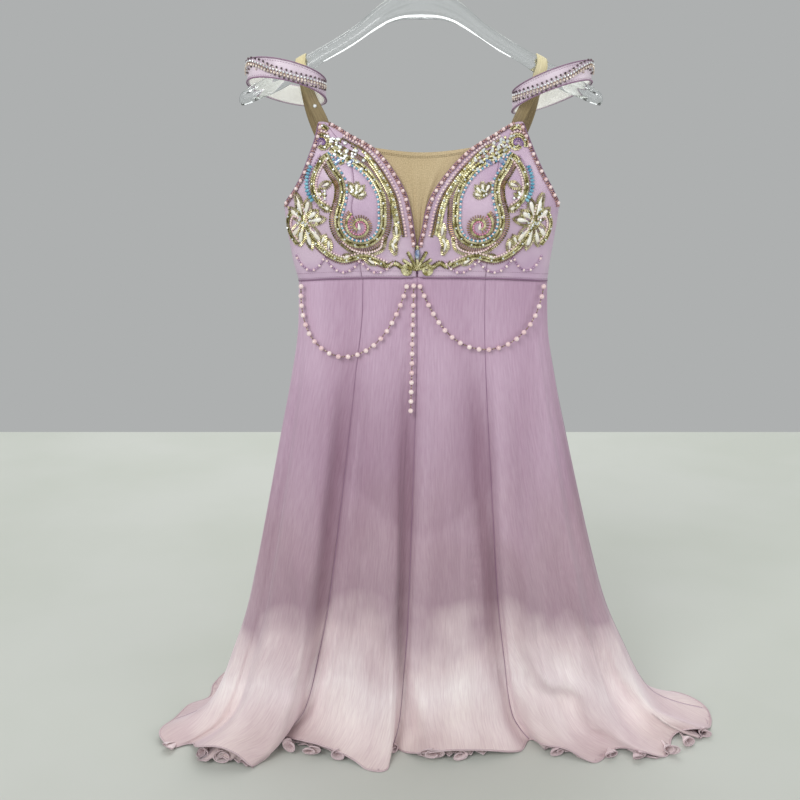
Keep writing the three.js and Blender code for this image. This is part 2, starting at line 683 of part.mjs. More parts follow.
// Pearl strings: a thread with round beads at even steps, just clear of the skirt
function addStrand(name, line) {
  const length = line.getLength();
  const count = Math.round(length / pearl.step);
  const path = [];
  const radii = [];
  const half = pearl.size / 2;
  const profile = [[-0.5, pearl.thread / 2], [-0.2, 0.8 * half], [0, half], [0.2, 0.8 * half]];
  for (let bead = 0; bead < count; bead += 1) {
    for (const [offset, radius] of profile) {
      const at = (bead + 0.5 + offset * (half * 2.6 / pearl.step)) / count;
      path.push(line.getPointAt(offset === -0.5 ? bead / count : at));
      radii.push(radius);
    }
  }
  path.push(line.getPointAt(1));
  radii.push(pearl.thread / 2);
  addRod(name, path, radii, 5, { color: colours.pinkPearl, roughness: 0.25, metalness: 0 });
}

// Front of the skirt at a place across and up, for what hangs against it
function skirtFrontY(x, z) {
  const drop = (z - waist.z) / (floorZ - waist.z);
  const level = skirtLevels.map((row) => ({ t: row.t, drop: row.drop }));
  const v = read(level, 'drop', 't', drop);
  let nearest = 0;
  let best = Infinity;
  for (const u of steps(-folds.length / 3, folds.length / 3, 300)) {
    const point = skirt(u, v);
    const off = Math.abs(point.x - x);
    if (point.y < 10 && off < best) {
      best = off;
      nearest = point.y;
    }
  }
  return nearest;
}

const swagLeft = [
  [-134.5, -404], [-135.6, -420], [-134, -440], [-127, -462], [-113, -478], [-94, -487], [-75, -486],
  [-57, -477], [-42, -463], [-31, -446], [-21, -424], [-14, -402],
];
const swagRight = [
  [-3, -402], [5, -420], [15, -439], [28, -457], [45, -471], [64, -478], [84, -478.5], [104, -471],
  [121, -457], [132, -439], [138, -420], [140.5, -404],
];
const dropLine = [[-7.8, -401], [-8.2, -430], [-9, -465], [-9.8, -510], [-11, -554]];

function addPearls() {
  const clear = pearl.size / 2 + pearl.clear;
  const hang = (rows) => new THREE.CatmullRomCurve3(rows.map(([x, z]) => {
    const y = Math.min(skirtFrontY(x - 5, z), skirtFrontY(x, z), skirtFrontY(x + 5, z));
    return new THREE.Vector3(x, y - clear, z);
  }), false, 'centripetal');
  addStrand('pearl_swag_left', hang(swagLeft));
  addStrand('pearl_swag_right', hang(swagRight));
  addStrand('pearl_drop_centre', hang(dropLine));
}

addHanger();
addHook();
addStraps();
addArmbands();
addBodice();
addPlacket();
addInsert();
addSkirt();
addLeotard();
addBeading();
addPearls();

export default dress;
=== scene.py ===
import bpy
import numpy as np
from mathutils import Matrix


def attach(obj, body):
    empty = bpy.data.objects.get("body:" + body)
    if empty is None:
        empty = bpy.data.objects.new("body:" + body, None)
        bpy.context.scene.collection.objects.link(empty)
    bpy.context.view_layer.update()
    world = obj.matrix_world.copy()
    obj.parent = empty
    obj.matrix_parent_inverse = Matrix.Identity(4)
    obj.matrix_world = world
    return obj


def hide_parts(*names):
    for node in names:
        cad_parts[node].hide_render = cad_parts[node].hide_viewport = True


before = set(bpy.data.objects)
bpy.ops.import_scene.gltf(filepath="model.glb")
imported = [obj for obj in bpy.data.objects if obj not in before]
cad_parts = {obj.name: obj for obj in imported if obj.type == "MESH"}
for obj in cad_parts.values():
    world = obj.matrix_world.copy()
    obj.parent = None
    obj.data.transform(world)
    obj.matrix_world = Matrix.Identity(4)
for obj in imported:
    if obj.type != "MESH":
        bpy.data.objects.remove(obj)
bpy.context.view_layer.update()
print("frame loaded")

chance = np.random.default_rng(11)

camera = {"place": (-0.023, -1.040, -0.270), "tilt": 75.0, "lens": 40.5}
floorLevel = -965.0


def addCamera():
    data = bpy.data.cameras.new("camera")
    data.lens = camera["lens"]
    data.sensor_width = 36.0
    data.clip_end = 50
    eye = bpy.data.objects.new("camera", data)
    eye.location = camera["place"]
    eye.rotation_euler = (np.radians(camera["tilt"]), 0, 0)
    bpy.context.scene.collection.objects.link(eye)
    bpy.context.scene.camera = eye


addCamera()


def mix(a, b, share):
    return a + (b - a) * share


def unit(vectors):
    return vectors / np.maximum(np.linalg.norm(vectors, axis=-1, keepdims=True), 1e-9)


def ease(low, high, value):
    # smooth step: 3s^2 - 2s^3 of the share s of the way from low to high
    share = np.clip((value - low) / (high - low), 0, 1)
    return share * share * (3 - 2 * share)


def readTable(keys, values, at):
    # cubic through the rows; each slope is the harmonic mean of its neighbours, so it never overshoots
    keys, values = np.asarray(keys, float), np.asarray(values, float)
    at = np.clip(at, keys[0], keys[-1])
    step = np.diff(keys)
    slope = np.diff(values) / step
    product, total = slope[:-1] * slope[1:], slope[:-1] + slope[1:]
    inner = np.where(product > 0, 2 * product / np.where(total == 0, 1, total), 0)
    knot = np.concatenate([slope[:1], inner, slope[-1:]])
    k = np.clip(np.searchsorted(keys, at) - 1, 0, len(step) - 1)
    s = (at - keys[k]) / step[k]
    return (
        (2 * s**3 - 3 * s**2 + 1) * values[k]
        + (s**3 - 2 * s**2 + s) * step[k] * knot[k]
        + (3 * s**2 - 2 * s**3) * values[k + 1]
        + (s**3 - s**2) * step[k] * knot[k + 1]
    )


def throughPoints(points, at, closed=False):
    # centripetal curve through the points; "at" counts the points along it
    points = np.asarray(points, float)
    count = points.shape[-2]
    at = np.asarray(at, float)
    if closed:
        index = np.floor(at).astype(int)
        pick = [points[..., (index + k) % count, :] for k in (-1, 0, 1, 2)]
    else:
        first = 2 * points[..., :1, :] - points[..., 1:2, :]
        last = 2 * points[..., -1:, :] - points[..., -2:-1, :]
        longer = np.concatenate([first, points, last], axis=-2)
        index = np.clip(np.floor(at).astype(int), 0, count - 2)
        pick = [longer[..., index + k, :] for k in range(4)]
    part = (at - index)[:, None]
    gap = [np.maximum(np.sum((b - a) ** 2, axis=-1, keepdims=True) ** 0.25, 1e-3) for a, b in zip(pick, pick[1:])]
    p0, p1, p2, p3 = pick
    d0, d1, d2 = gap
    t1 = ((p1 - p0) / d0 - (p2 - p0) / (d0 + d1) + (p2 - p1) / d1) * d1
    t2 = ((p2 - p1) / d1 - (p3 - p1) / (d1 + d2) + (p3 - p2) / d2) * d1
    return p1 + t1 * part + (3 * (p2 - p1) - 2 * t1 - t2) * part**2 + (2 * (p1 - p2) + t1 + t2) * part**3


def toLinear(code):
    # sRGB hex to linear light: c / 12.92 below 0.04045, ((c + 0.055) / 1.055)^2.4 above it
    parts = np.array([int(code[k : k + 2], 16) / 255 for k in (1, 3, 5)])
    linear = np.where(parts <= 0.04045, parts / 12.92, ((parts + 0.055) / 1.055) ** 2.4)
    return (*linear.tolist(), 1.0)


def addNode(tree, kind, inputs=None, **attributes):
    # one node with its settings; an input is a value, or the output that feeds it
    node = tree.nodes.new(kind)
    for key, value in attributes.items():
        setattr(node, key, value)
    for key, value in (inputs or {}).items():
        if isinstance(value, bpy.types.NodeSocket):
            tree.links.new(value, node.inputs[key])
        else:
            node.inputs[key].default_value = value
    return node


def startMaterial(name, sockets):
    material = bpy.data.materials.new(name)
    material.use_nodes = True
    tree = material.node_tree
    shader = next(node for node in tree.nodes if node.type == "BSDF_PRINCIPLED")
    for key, value in sockets.items():
        shader.inputs[key].default_value = value
    return material, tree, shader


def fillRamp(node, stops):
    ramp = node.color_ramp
    for k, (place, code) in enumerate(stops):
        stop = ramp.elements[k] if k < 2 else ramp.elements.new(place)
        stop.position = place
        stop.color = toLinear(code)


def gridFaces(columns, rows, ring=False):
    # the four corners of every cell of a grid whose point number is column * rows + row
    spans = columns if ring else columns - 1
    c, r = np.meshgrid(np.arange(spans), np.arange(rows - 1), indexing="ij")
    a = (c * rows + r).ravel()
    b = (((c + 1) % columns) * rows + r).ravel()
    return np.stack([a, b, b + 1, a + 1], axis=1)


def addPiece(name, points, faces, finishes, uv=None, attributes=None, faceFinish=None, smooth=True):
    mesh = bpy.data.meshes.new(name)
    mesh.from_pydata((points.reshape(-1, 3) * 0.001).tolist(), [], faces.tolist())
    for finish in finishes:
        mesh.materials.append(finish)
    flags = np.broadcast_to(np.asarray(smooth, bool), len(faces))
    mesh.polygons.foreach_set("use_smooth", flags.copy())
    if faceFinish is not None:
        mesh.polygons.foreach_set("material_index", np.asarray(faceFinish, np.int32))
    if uv is not None:
        layer = mesh.uv_layers.new(name="cloth")
        layer.data.foreach_set("uv", (uv.reshape(-1, 2)[faces.ravel()] * 0.001).ravel())
    for key, values in (attributes or {}).items():
        layer = mesh.attributes.new(key, "FLOAT", "POINT")
        layer.data.foreach_set("value", np.asarray(values, np.float32).ravel())
    mesh.update()
    piece = bpy.data.objects.new(name, mesh)
    bpy.context.scene.collection.objects.link(piece)
    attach(piece, "root")
    return piece


def gridNormals(grid, ring=False):
    # cross product of the steps along both ways of the grid
    if ring:
        across = np.roll(grid, -1, axis=0) - np.roll(grid, 1, axis=0)
    else:
        across = np.gradient(grid, axis=0)
    return unit(np.cross(across, np.gradient(grid, axis=1)))


def clothUv(grid):
    # distance across from the middle of each row, and distance down from the first row, in millimetres
    across = np.linalg.norm(np.diff(grid, axis=0), axis=-1)
    across = np.concatenate([np.zeros((1, grid.shape[1])), np.cumsum(across, axis=0)])
    down = np.linalg.norm(np.diff(grid, axis=1), axis=-1).mean(axis=0)
    down = np.concatenate([[0], np.cumsum(down)])
    return np.stack([across - across[-1:] / 2, np.broadcast_to(down, across.shape)], axis=-1)


def addCloth(name, grid, outward, wall, finish, node=None, ring=False, attributes=None):
    # thin shell: the grid is its outer face, turned so that its normals agree with "outward"
    normals = gridNormals(grid, ring)
    faces = gridFaces(grid.shape[0], grid.shape[1], ring)
    if np.sum(normals * outward) < 0:
        faces = faces[:, ::-1]
    piece = addPiece(name, grid, faces, [finish], uv=clothUv(grid), attributes=attributes)
    shell = piece.modifiers.new("wall", "SOLIDIFY")
    shell.thickness = wall * 0.001
    shell.offset = -1
    if node:
        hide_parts(node)
    return piece


def tubeGrid(path, radius, sides):
    # round section carried along a path: centre + radius * (cos, sin) in the plane across the path
    along = unit(np.gradient(path, axis=0))
    side = unit(np.cross(along, np.array([0.13, 0.92, 0.37])))
    other = np.cross(along, side)
    turn = np.arange(sides) * 2 * np.pi / sides
    radius = np.broadcast_to(radius, len(path))[:, None, None]
    ringPoints = side[:, None] * np.cos(turn)[None, :, None] + other[:, None] * np.sin(turn)[None, :, None]
    return path[:, None] + radius * ringPoints


def tubeMesh(path, radius, sides):
    # the rings of the tube with a point in the middle of each end; every face is a triangle
    grid = tubeGrid(path, radius, sides)
    count = len(path)
    points = np.concatenate([grid.reshape(-1, 3), path[:1], path[-1:]])
    s, k = np.meshgrid(np.arange(count - 1), np.arange(sides), indexing="ij")
    a = (s * sides + k).ravel()
    b = (s * sides + (k + 1) % sides).ravel()
    wall = np.concatenate([np.stack([a, b, b + sides], 1), np.stack([a, b + sides, a + sides], 1)])
    k = np.arange(sides)
    first = np.stack([np.full(sides, count * sides), (k + 1) % sides, k], 1)
    lastRing = (count - 1) * sides
    last = np.stack([np.full(sides, count * sides + 1), lastRing + k, lastRing + (k + 1) % sides], 1)
    faces = np.concatenate([wall, first, last])
    corner = points[faces]
    volume = np.einsum("ij,ij->", corner[:, 0], np.cross(corner[:, 1], corner[:, 2]))
    return points, faces if volume > 0 else faces[:, ::-1]


# Body shape of the bodice and the skirt, as in the solids
waist = {"centreX": -4.0, "leftX": -139.6, "rightX": 146.6, "middleX": 3.5, "halfWidth": 143.1, "z": -397.4, "sideDrop": 7.2}
waistDepth = {"front": 36.0, "back": 24.0}
princess = {"left": 0.237, "right": 0.28}
apexZ, underarmZ, vBottomZ = -231.0, -323.0, -368.0
sideLine = {
    "z": [-405, -381, -363, -343, -323, -304, -287, -269, -248, -231],
    "left": [-139.6, -145.8, -148.5, -151.5, -153.0, -140.6, -130.4, -122.8, -115.2, -111.5],
    "right": [146.6, 149.0, 151.5, 154.0, 156.0, 146.5, 135.5, 126.0, 117.0, 110.5],
}
neckLine = {
    "z": [-405, -368, -341, -327, -310, -293, -275, -260, -245, -233, -231],
    "left": [-4.0, -5.0, -8.4, -11.0, -15.0, -23.3, -35.4, -49.6, -77.0, -98.0, -106.0],
    "right": [-4.0, -3.4, 1.6, 4.2, 10.0, 20.6, 36.0, 52.5, 78.0, 99.0, 104.5],
}
depthByHeight = {
    "z": [-405, -363, -323, -290, -260, -231],
    "front": [36, 43, 48, 45, 36, 22],
    "back": [24, 27, 29, 29, 26, 22],
}
cup = {"middleX": 1.5, "outX": 66.0, "z": -322.0, "width": 40.0, "height": 40.0, "rise": 12.0}
backTop = {"sideZ": -324.0, "centreZ": -352.0}


def reachOf(x, z):
    # 0 in the middle of the body, 1 at its side
    level = np.minimum(z, underarmZ)
    left = readTable(sideLine["z"], sideLine["left"], level)
    right = readTable(sideLine["z"], sideLine["right"], level)
    return np.minimum(np.abs(x - (left + right) / 2) / ((right - left) / 2), 1)


def frontY(x, z):
    # flattened oval, depth * (1 - reach^2.5)^0.4, with a soft bell for each cup
    oval = readTable(depthByHeight["z"], depthByHeight["front"], z) * (1 - reachOf(x, z) ** 2.5) ** 0.4
    outX = (np.abs(x - cup["middleX"]) - cup["outX"]) / cup["width"]
    up = (z - cup["z"]) / cup["height"]
    return -oval - cup["rise"] * np.exp(-(outX**2) - up**2) * np.minimum(1, oval / 20)


def backY(x, z):
    return readTable(depthByHeight["z"], depthByHeight["back"], z) * (1 - reachOf(x, z) ** 2.5) ** 0.4


def sideways(w):
    return np.sin(np.clip(w, 0, 1) * np.pi / 2) ** 0.8


def waistZ(share):
    return waist["z"] - waist["sideDrop"] * share**3


def frontHalf(hand, w, v):
    # w from the centre to the side, v from the waist seam to the strap
    share = sideways(w)
    z = mix(waistZ(share), apexZ, v)
    inner = readTable(neckLine["z"], neckLine[hand], z)
    outer = readTable(sideLine["z"], sideLine[hand], z)
    x = mix(inner, outer, share)
    return np.stack([x, frontY(x, z), z], axis=-1)


def backHalf(hand, w, v):
    share = sideways(w)
    z = mix(waistZ(share), mix(backTop["centreZ"], backTop["sideZ"], share**2), v)
    x = mix(waist["centreX"], readTable(sideLine["z"], sideLine[hand], z), share)
    return np.stack([x, backY(x, z), z], axis=-1)


def onFront(x, z, height):
    # point at a height over the bodice front, and the direction straight out of the cloth there
    small = 0.5
    slopeX = (frontY(x + small, z) - frontY(x - small, z)) / (2 * small)
    slopeZ = (frontY(x, z + small) - frontY(x, z - small)) / (2 * small)
    out = unit(np.stack([slopeX, np.full_like(slopeX, -1.0), slopeZ], axis=-1))
    height = np.broadcast_to(height, x.shape)[..., None]
    return np.stack([x, frontY(x, z), z], axis=-1) + out * height, out


# Skirt: one row for each fold, with its place on the waist seam in degrees from the centre front towards the
# right, where it reaches the hem (across and forward), and how far the hem stands off the floor there
folds = np.array([
    (0, -33, -84, 0), (3, -18, -98, 0), (6, 6, -115, 12), (11, 36, -113, 15), (16, 78, -108, 12), (21.5, 126, -98, 2),
    (25.2, 138, -70, 0), (28, 150, -98, 9), (33, 176, -104, 11), (40, 212, -120, 0), (45, 236, -92, 2),
    (52, 268, -109, 9), (60, 303, -104, 0), (65, 314, -66, 2), (73, 347, -70, 15), (82, 372, -44, 0),
    (90, 378, -14, 5), (98, 352, 16, 9), (106, 330, 34, 0), (113, 300, 26, 1), (122, 284, 74, 16), (130, 246, 92, 0),
    (135, 224, 58, 0), (141, 196, 104, 17), (149, 146, 116, 0), (156, 110, 76, 0), (164, 72, 112, 16),
    (172, 30, 114, 0), (180, 4, 74, 0), (188, -24, 112, 0), (196, -66, 112, 16), (204, -106, 110, 0),
    (210, -122, 72, 0), (217, -158, 108, 17), (225, -200, 92, 0), (231, -212, 56, 0), (239, -246, 80, 15),
    (249, -280, 52, 0), (257, -276, 18, 1), (264, -300, -8, 8), (270, -312, -38, 5), (277, -323, -72, 11),
    (285, -298, -92, 0), (291, -278, -80, 2), (299, -266, -119, 24), (307, -240, -124, 29), (316, -212, -127, 18),
    (327, -193, -130, 0), (338.7, -178, -64, 0), (342, -160, -80, 9), (345, -138, -96, 15), (348.5, -110, -104, 12),
    (352, -76, -119, 5), (355, -60, -132, 0), (357.5, -38, -131, 0), (359, -33, -104, 0),
], float)
goreSeams = [0, 6, 16, 22, 28, 35, 40, 48, 56]
goreNames = [
    "skirt_front_centre_right", "skirt_front_side_right", "skirt_back_side_right", "skirt_back_centre_right",
    "skirt_back_centre_left", "skirt_back_side_left", "skirt_front_side_left", "skirt_front_centre_left",
]
skirtLevels = {
    "t": [0, 0.08, 0.2, 0.33, 0.46, 0.58, 0.69, 0.79, 0.87, 0.92, 0.955, 1],
    "drop": [0, 0.09, 0.215, 0.35, 0.487, 0.61, 0.725, 0.83, 0.915, 0.96, 0.983, 1],
    "spread": [0, 0.012, 0.07, 0.15, 0.235, 0.315, 0.4, 0.51, 0.61, 0.7, 0.82, 1],
}
chiffonWall = 1.2


def skirtRing(v, at, hemLevel=floorLevel + chiffonWall):
    # for each level v, the closed curve through the fold points, each on its way from the waist to the hem
    drop = readTable(skirtLevels["t"], skirtLevels["drop"], v)[:, None]
    spread = readTable(skirtLevels["t"], skirtLevels["spread"], v)[:, None]
    turn = np.radians(folds[:, 0])
    share = np.abs(np.sin(turn)) ** 0.8
    topX = mix(waist["centreX"], np.where(folds[:, 0] <= 180, waist["rightX"], waist["leftX"]), share)
    depth = np.where(np.cos(turn) > 0, -waistDepth["front"], waistDepth["back"])
    topY = depth * np.abs(np.cos(turn)) ** 0.8
    x = mix(topX, folds[:, 1], spread)
    y = mix(topY, folds[:, 2], spread)
    z = mix(waistZ(share), hemLevel + folds[:, 3], drop)
    return throughPoints(np.stack([x, y, z], axis=-1), at, closed=True)


def skirtFront(x, z):
    # how far forward the skirt's front stands at a place across and up
    v = readTable(skirtLevels["drop"], skirtLevels["t"], (z - waist["z"]) / (floorLevel - waist["z"]))
    third = len(folds) / 3
    ring = skirtRing(v, np.linspace(-third, third, 301))
    off = np.where(ring[..., 1] < 10, np.abs(ring[..., 0] - x[:, None]), np.inf)
    return np.take_along_axis(ring[..., 1], off.argmin(axis=1)[:, None], axis=1)[:, 0]


# Finishes
finishes = {}


def noiseTint(tree, coordinates, scale, low, high, detail=3.0, ramp=(0.35, 0.65)):
    # colour that wanders between two tones with a noise of the given scale
    noise = addNode(tree, "ShaderNodeTexNoise", {"Vector": coordinates, "Scale": scale, "Detail": detail})
    tint = addNode(tree, "ShaderNodeValToRGB", {"Fac": noise.outputs["Fac"]})
    fillRamp(tint, [(ramp[0], low), (ramp[1], high)])
    return tint.outputs["Color"]


def multiply(tree, first, second, factor=1.0):
    node = addNode(tree, "ShaderNodeMix", data_type="RGBA", blend_type="MULTIPLY")
    node.inputs["Factor"].default_value = factor
    tree.links.new(first, node.inputs[6])
    tree.links.new(second, node.inputs[7])
    return node.outputs[2]


chiffonLook = {
    # share of the way down, and colour: mauve dye that fades to blush near the hem
    "ombre": [
        (0.0, "#CDB1C8"), (0.35, "#CEB4C7"), (0.54, "#C3AAB6"), (0.665, "#BFA8B2"), (0.745, "#EEE0E0"),
        (0.82, "#FFF7F5"), (0.9, "#F6EAE7"), (1.0, "#E4D5D1"),
    ],
    "blotch": 0.25,  # how far up or down the dye's edge wanders, as a share of the way down
    "crinkle": 1.7,  # mm between the ribs of the crinkled weave; the real 0.8 mm ribs are too fine for the picture
    "crinkleLength": 24.0,
}


def chiffonMaterial(name):
    # silk chiffon with a lengthwise crinkle: matt, slightly see-through, bright where it catches the light
    material, tree, shader = startMaterial(name, {
        "Roughness": 0.72, "Specular IOR Level": 0.28, "Sheen Weight": 0.55, "Sheen Roughness": 0.45,
    })
    shader.inputs["Sheen Tint"].default_value = toLinear("#F6E6F2")
    uv = addNode(tree, "ShaderNodeUVMap", uv_map="cloth").outputs["UV"]
    place = addNode(tree, "ShaderNodeTexCoord").outputs["Object"]
    drop = addNode(tree, "ShaderNodeAttribute", attribute_name="drop").outputs["Fac"]
    blur = addNode(tree, "ShaderNodeTexNoise", {"Vector": place, "Scale": 11.0, "Detail": 2.0})
    shift = addNode(tree, "ShaderNodeMath", {0: blur.outputs["Fac"], 1: -0.5}, operation="ADD")
    shift = addNode(tree, "ShaderNodeMath", {
        0: shift.outputs[0], 1: chiffonLook["blotch"], 2: drop,
    }, operation="MULTIPLY_ADD")
    ombre = addNode(tree, "ShaderNodeValToRGB", {"Fac": shift.outputs[0]})
    fillRamp(ombre, chiffonLook["ombre"])
    ribs = addNode(tree, "ShaderNodeMapping", {
        "Vector": uv, "Scale": (1000 / chiffonLook["crinkle"], 1000 / chiffonLook["crinkleLength"], 1),
    })
    crinkle = addNode(tree, "ShaderNodeTexNoise", {
        "Vector": ribs.outputs["Vector"], "Scale": 1.0, "Detail": 2.5, "Roughness": 0.6, "Distortion": 0.25,
    })
    # painted shade: the colour darkens in the grooves of the crinkle, read from the same noise that raises its bump
    crinkleGrooveShade = addNode(tree, "ShaderNodeValToRGB", {"Fac": crinkle.outputs["Fac"]})
    fillRamp(crinkleGrooveShade, [(0.30, "#F0EAEE"), (0.66, "#FFFFFF")])
    colour = multiply(tree, ombre.outputs["Color"], crinkleGrooveShade.outputs["Color"])
    # the "behind" attribute darkens the colour: partly the leotard's own tone seen through the cloth, partly painted
    # shade in the valleys before the seams with painted highlight on the ridges
    behind = addNode(tree, "ShaderNodeAttribute", attribute_name="behind").outputs["Fac"]
    leotardToneAndPaintedFoldShade = addNode(tree, "ShaderNodeValToRGB", {"Fac": behind})
    fillRamp(leotardToneAndPaintedFoldShade, [(0.0, "#FFFFFF"), (1.0, "#CBBEC3")])
    colour = multiply(tree, colour, leotardToneAndPaintedFoldShade.outputs["Color"])
    tall = addNode(tree, "ShaderNodeMapping", {"Vector": place, "Scale": (1.0, 1.0, 0.22)}).outputs["Vector"]
    colour = multiply(tree, colour, noiseTint(tree, tall, 15.0, "#EAE3E7", "#FFFFFF", 1.0))
    bump = addNode(tree, "ShaderNodeBump", {"Height": crinkle.outputs["Fac"], "Strength": 0.4, "Distance": 0.0007})
    tree.links.new(colour, shader.inputs["Base Color"])
    tree.links.new(bump.outputs["Normal"], shader.inputs["Normal"])
    return material


def satinMaterial(name, low, high, shine=0.34):
    # bridal satin: floats of silk lie across the face, so it is smooth, with soft broad highlights
    material, tree, shader = startMaterial(name, {
        "Roughness": shine, "Specular IOR Level": 0.5, "Sheen Weight": 0.25, "Sheen Roughness": 0.3, "Anisotropic": 0.4,
    })
    place = addNode(tree, "ShaderNodeTexCoord").outputs["Object"]
    uv = addNode(tree, "ShaderNodeUVMap", uv_map="cloth").outputs["UV"]
    colour = noiseTint(tree, place, 22.0, low, high)
    pucker = addNode(tree, "ShaderNodeTexNoise", {"Vector": place, "Scale": 60.0, "Detail": 2.0})
    yarn = addNode(tree, "ShaderNodeMapping", {"Vector": uv, "Scale": (1000 / 0.9, 1000 / 6.0, 1)})
    weave = addNode(tree, "ShaderNodeTexNoise", {"Vector": yarn.outputs["Vector"], "Scale": 1.0, "Detail": 1.0})
    height = addNode(tree, "ShaderNodeMath", {0: weave.outputs["Fac"], 1: 0.12, 2: pucker.outputs["Fac"]}, operation="MULTIPLY_ADD")
    bump = addNode(tree, "ShaderNodeBump", {"Height": height.outputs[0], "Strength": 0.5, "Distance": 0.0016})
    tree.links.new(colour, shader.inputs["Base Color"])
    tree.links.new(bump.outputs["Normal"], shader.inputs["Normal"])
    return material


def knitMaterial(name, low, high, rib, ribLength, roughness, strength, foot=None):
    # stretch mesh or knit: fine rows of loops, drawn at the rib size given in millimetres;
    # "foot" is painted shade on the lower part: its darker tone, and the two heights in metres between which the shade
    # fades out
    material, tree, shader = startMaterial(name, {
        "Roughness": roughness, "Specular IOR Level": 0.3, "Sheen Weight": 0.2,
    })
    uv = addNode(tree, "ShaderNodeUVMap", uv_map="cloth").outputs["UV"]
    place = addNode(tree, "ShaderNodeTexCoord").outputs["Object"]
    rows = addNode(tree, "ShaderNodeMapping", {"Vector": uv, "Scale": (1000 / rib, 1000 / ribLength, 1)})
    loops = addNode(tree, "ShaderNodeTexNoise", {"Vector": rows.outputs["Vector"], "Scale": 1.0, "Detail": 2.0})
    fine = noiseTint(tree, rows.outputs["Vector"], 1.0, "#DFDCD8", "#FFFFFF")
    colour = multiply(tree, noiseTint(tree, place, 18.0, low, high), fine)
    if foot:
        # painted shade: darkest at the lower height, gone at the upper one
        tone, start, end = foot
        up = addNode(tree, "ShaderNodeSeparateXYZ", {"Vector": place}).outputs["Z"]
        share = addNode(tree, "ShaderNodeMapRange", {"Value": up, "From Min": start, "From Max": end})
        paintedShadeRamp = addNode(tree, "ShaderNodeValToRGB", {"Fac": share.outputs["Result"]})
        fillRamp(paintedShadeRamp, [(0.0, tone), (1.0, "#FFFFFF")])
        colour = multiply(tree, colour, paintedShadeRamp.outputs["Color"])
    bump = addNode(tree, "ShaderNodeBump", {"Height": loops.outputs["Fac"], "Strength": strength, "Distance": 0.0006})
    tree.links.new(colour, shader.inputs["Base Color"])
    tree.links.new(bump.outputs["Normal"], shader.inputs["Normal"])
    return material


def beadMaterial(name, low, high, scale, sockets):
    # small hard part: two close tones from bead to bead, and a faint unevenness of its skin
    material, tree, shader = startMaterial(name, sockets)
    place = addNode(tree, "ShaderNodeTexCoord").outputs["Object"]
    tree.links.new(noiseTint(tree, place, scale, low, high, 2.0), shader.inputs["Base Color"])
    grain = addNode(tree, "ShaderNodeTexNoise", {"Vector": place, "Scale": scale * 3, "Detail": 1.0})
    bump = addNode(tree, "ShaderNodeBump", {"Height": grain.outputs["Fac"], "Strength": 0.12, "Distance": 0.0004})
    tree.links.new(bump.outputs["Normal"], shader.inputs["Normal"])
    return material


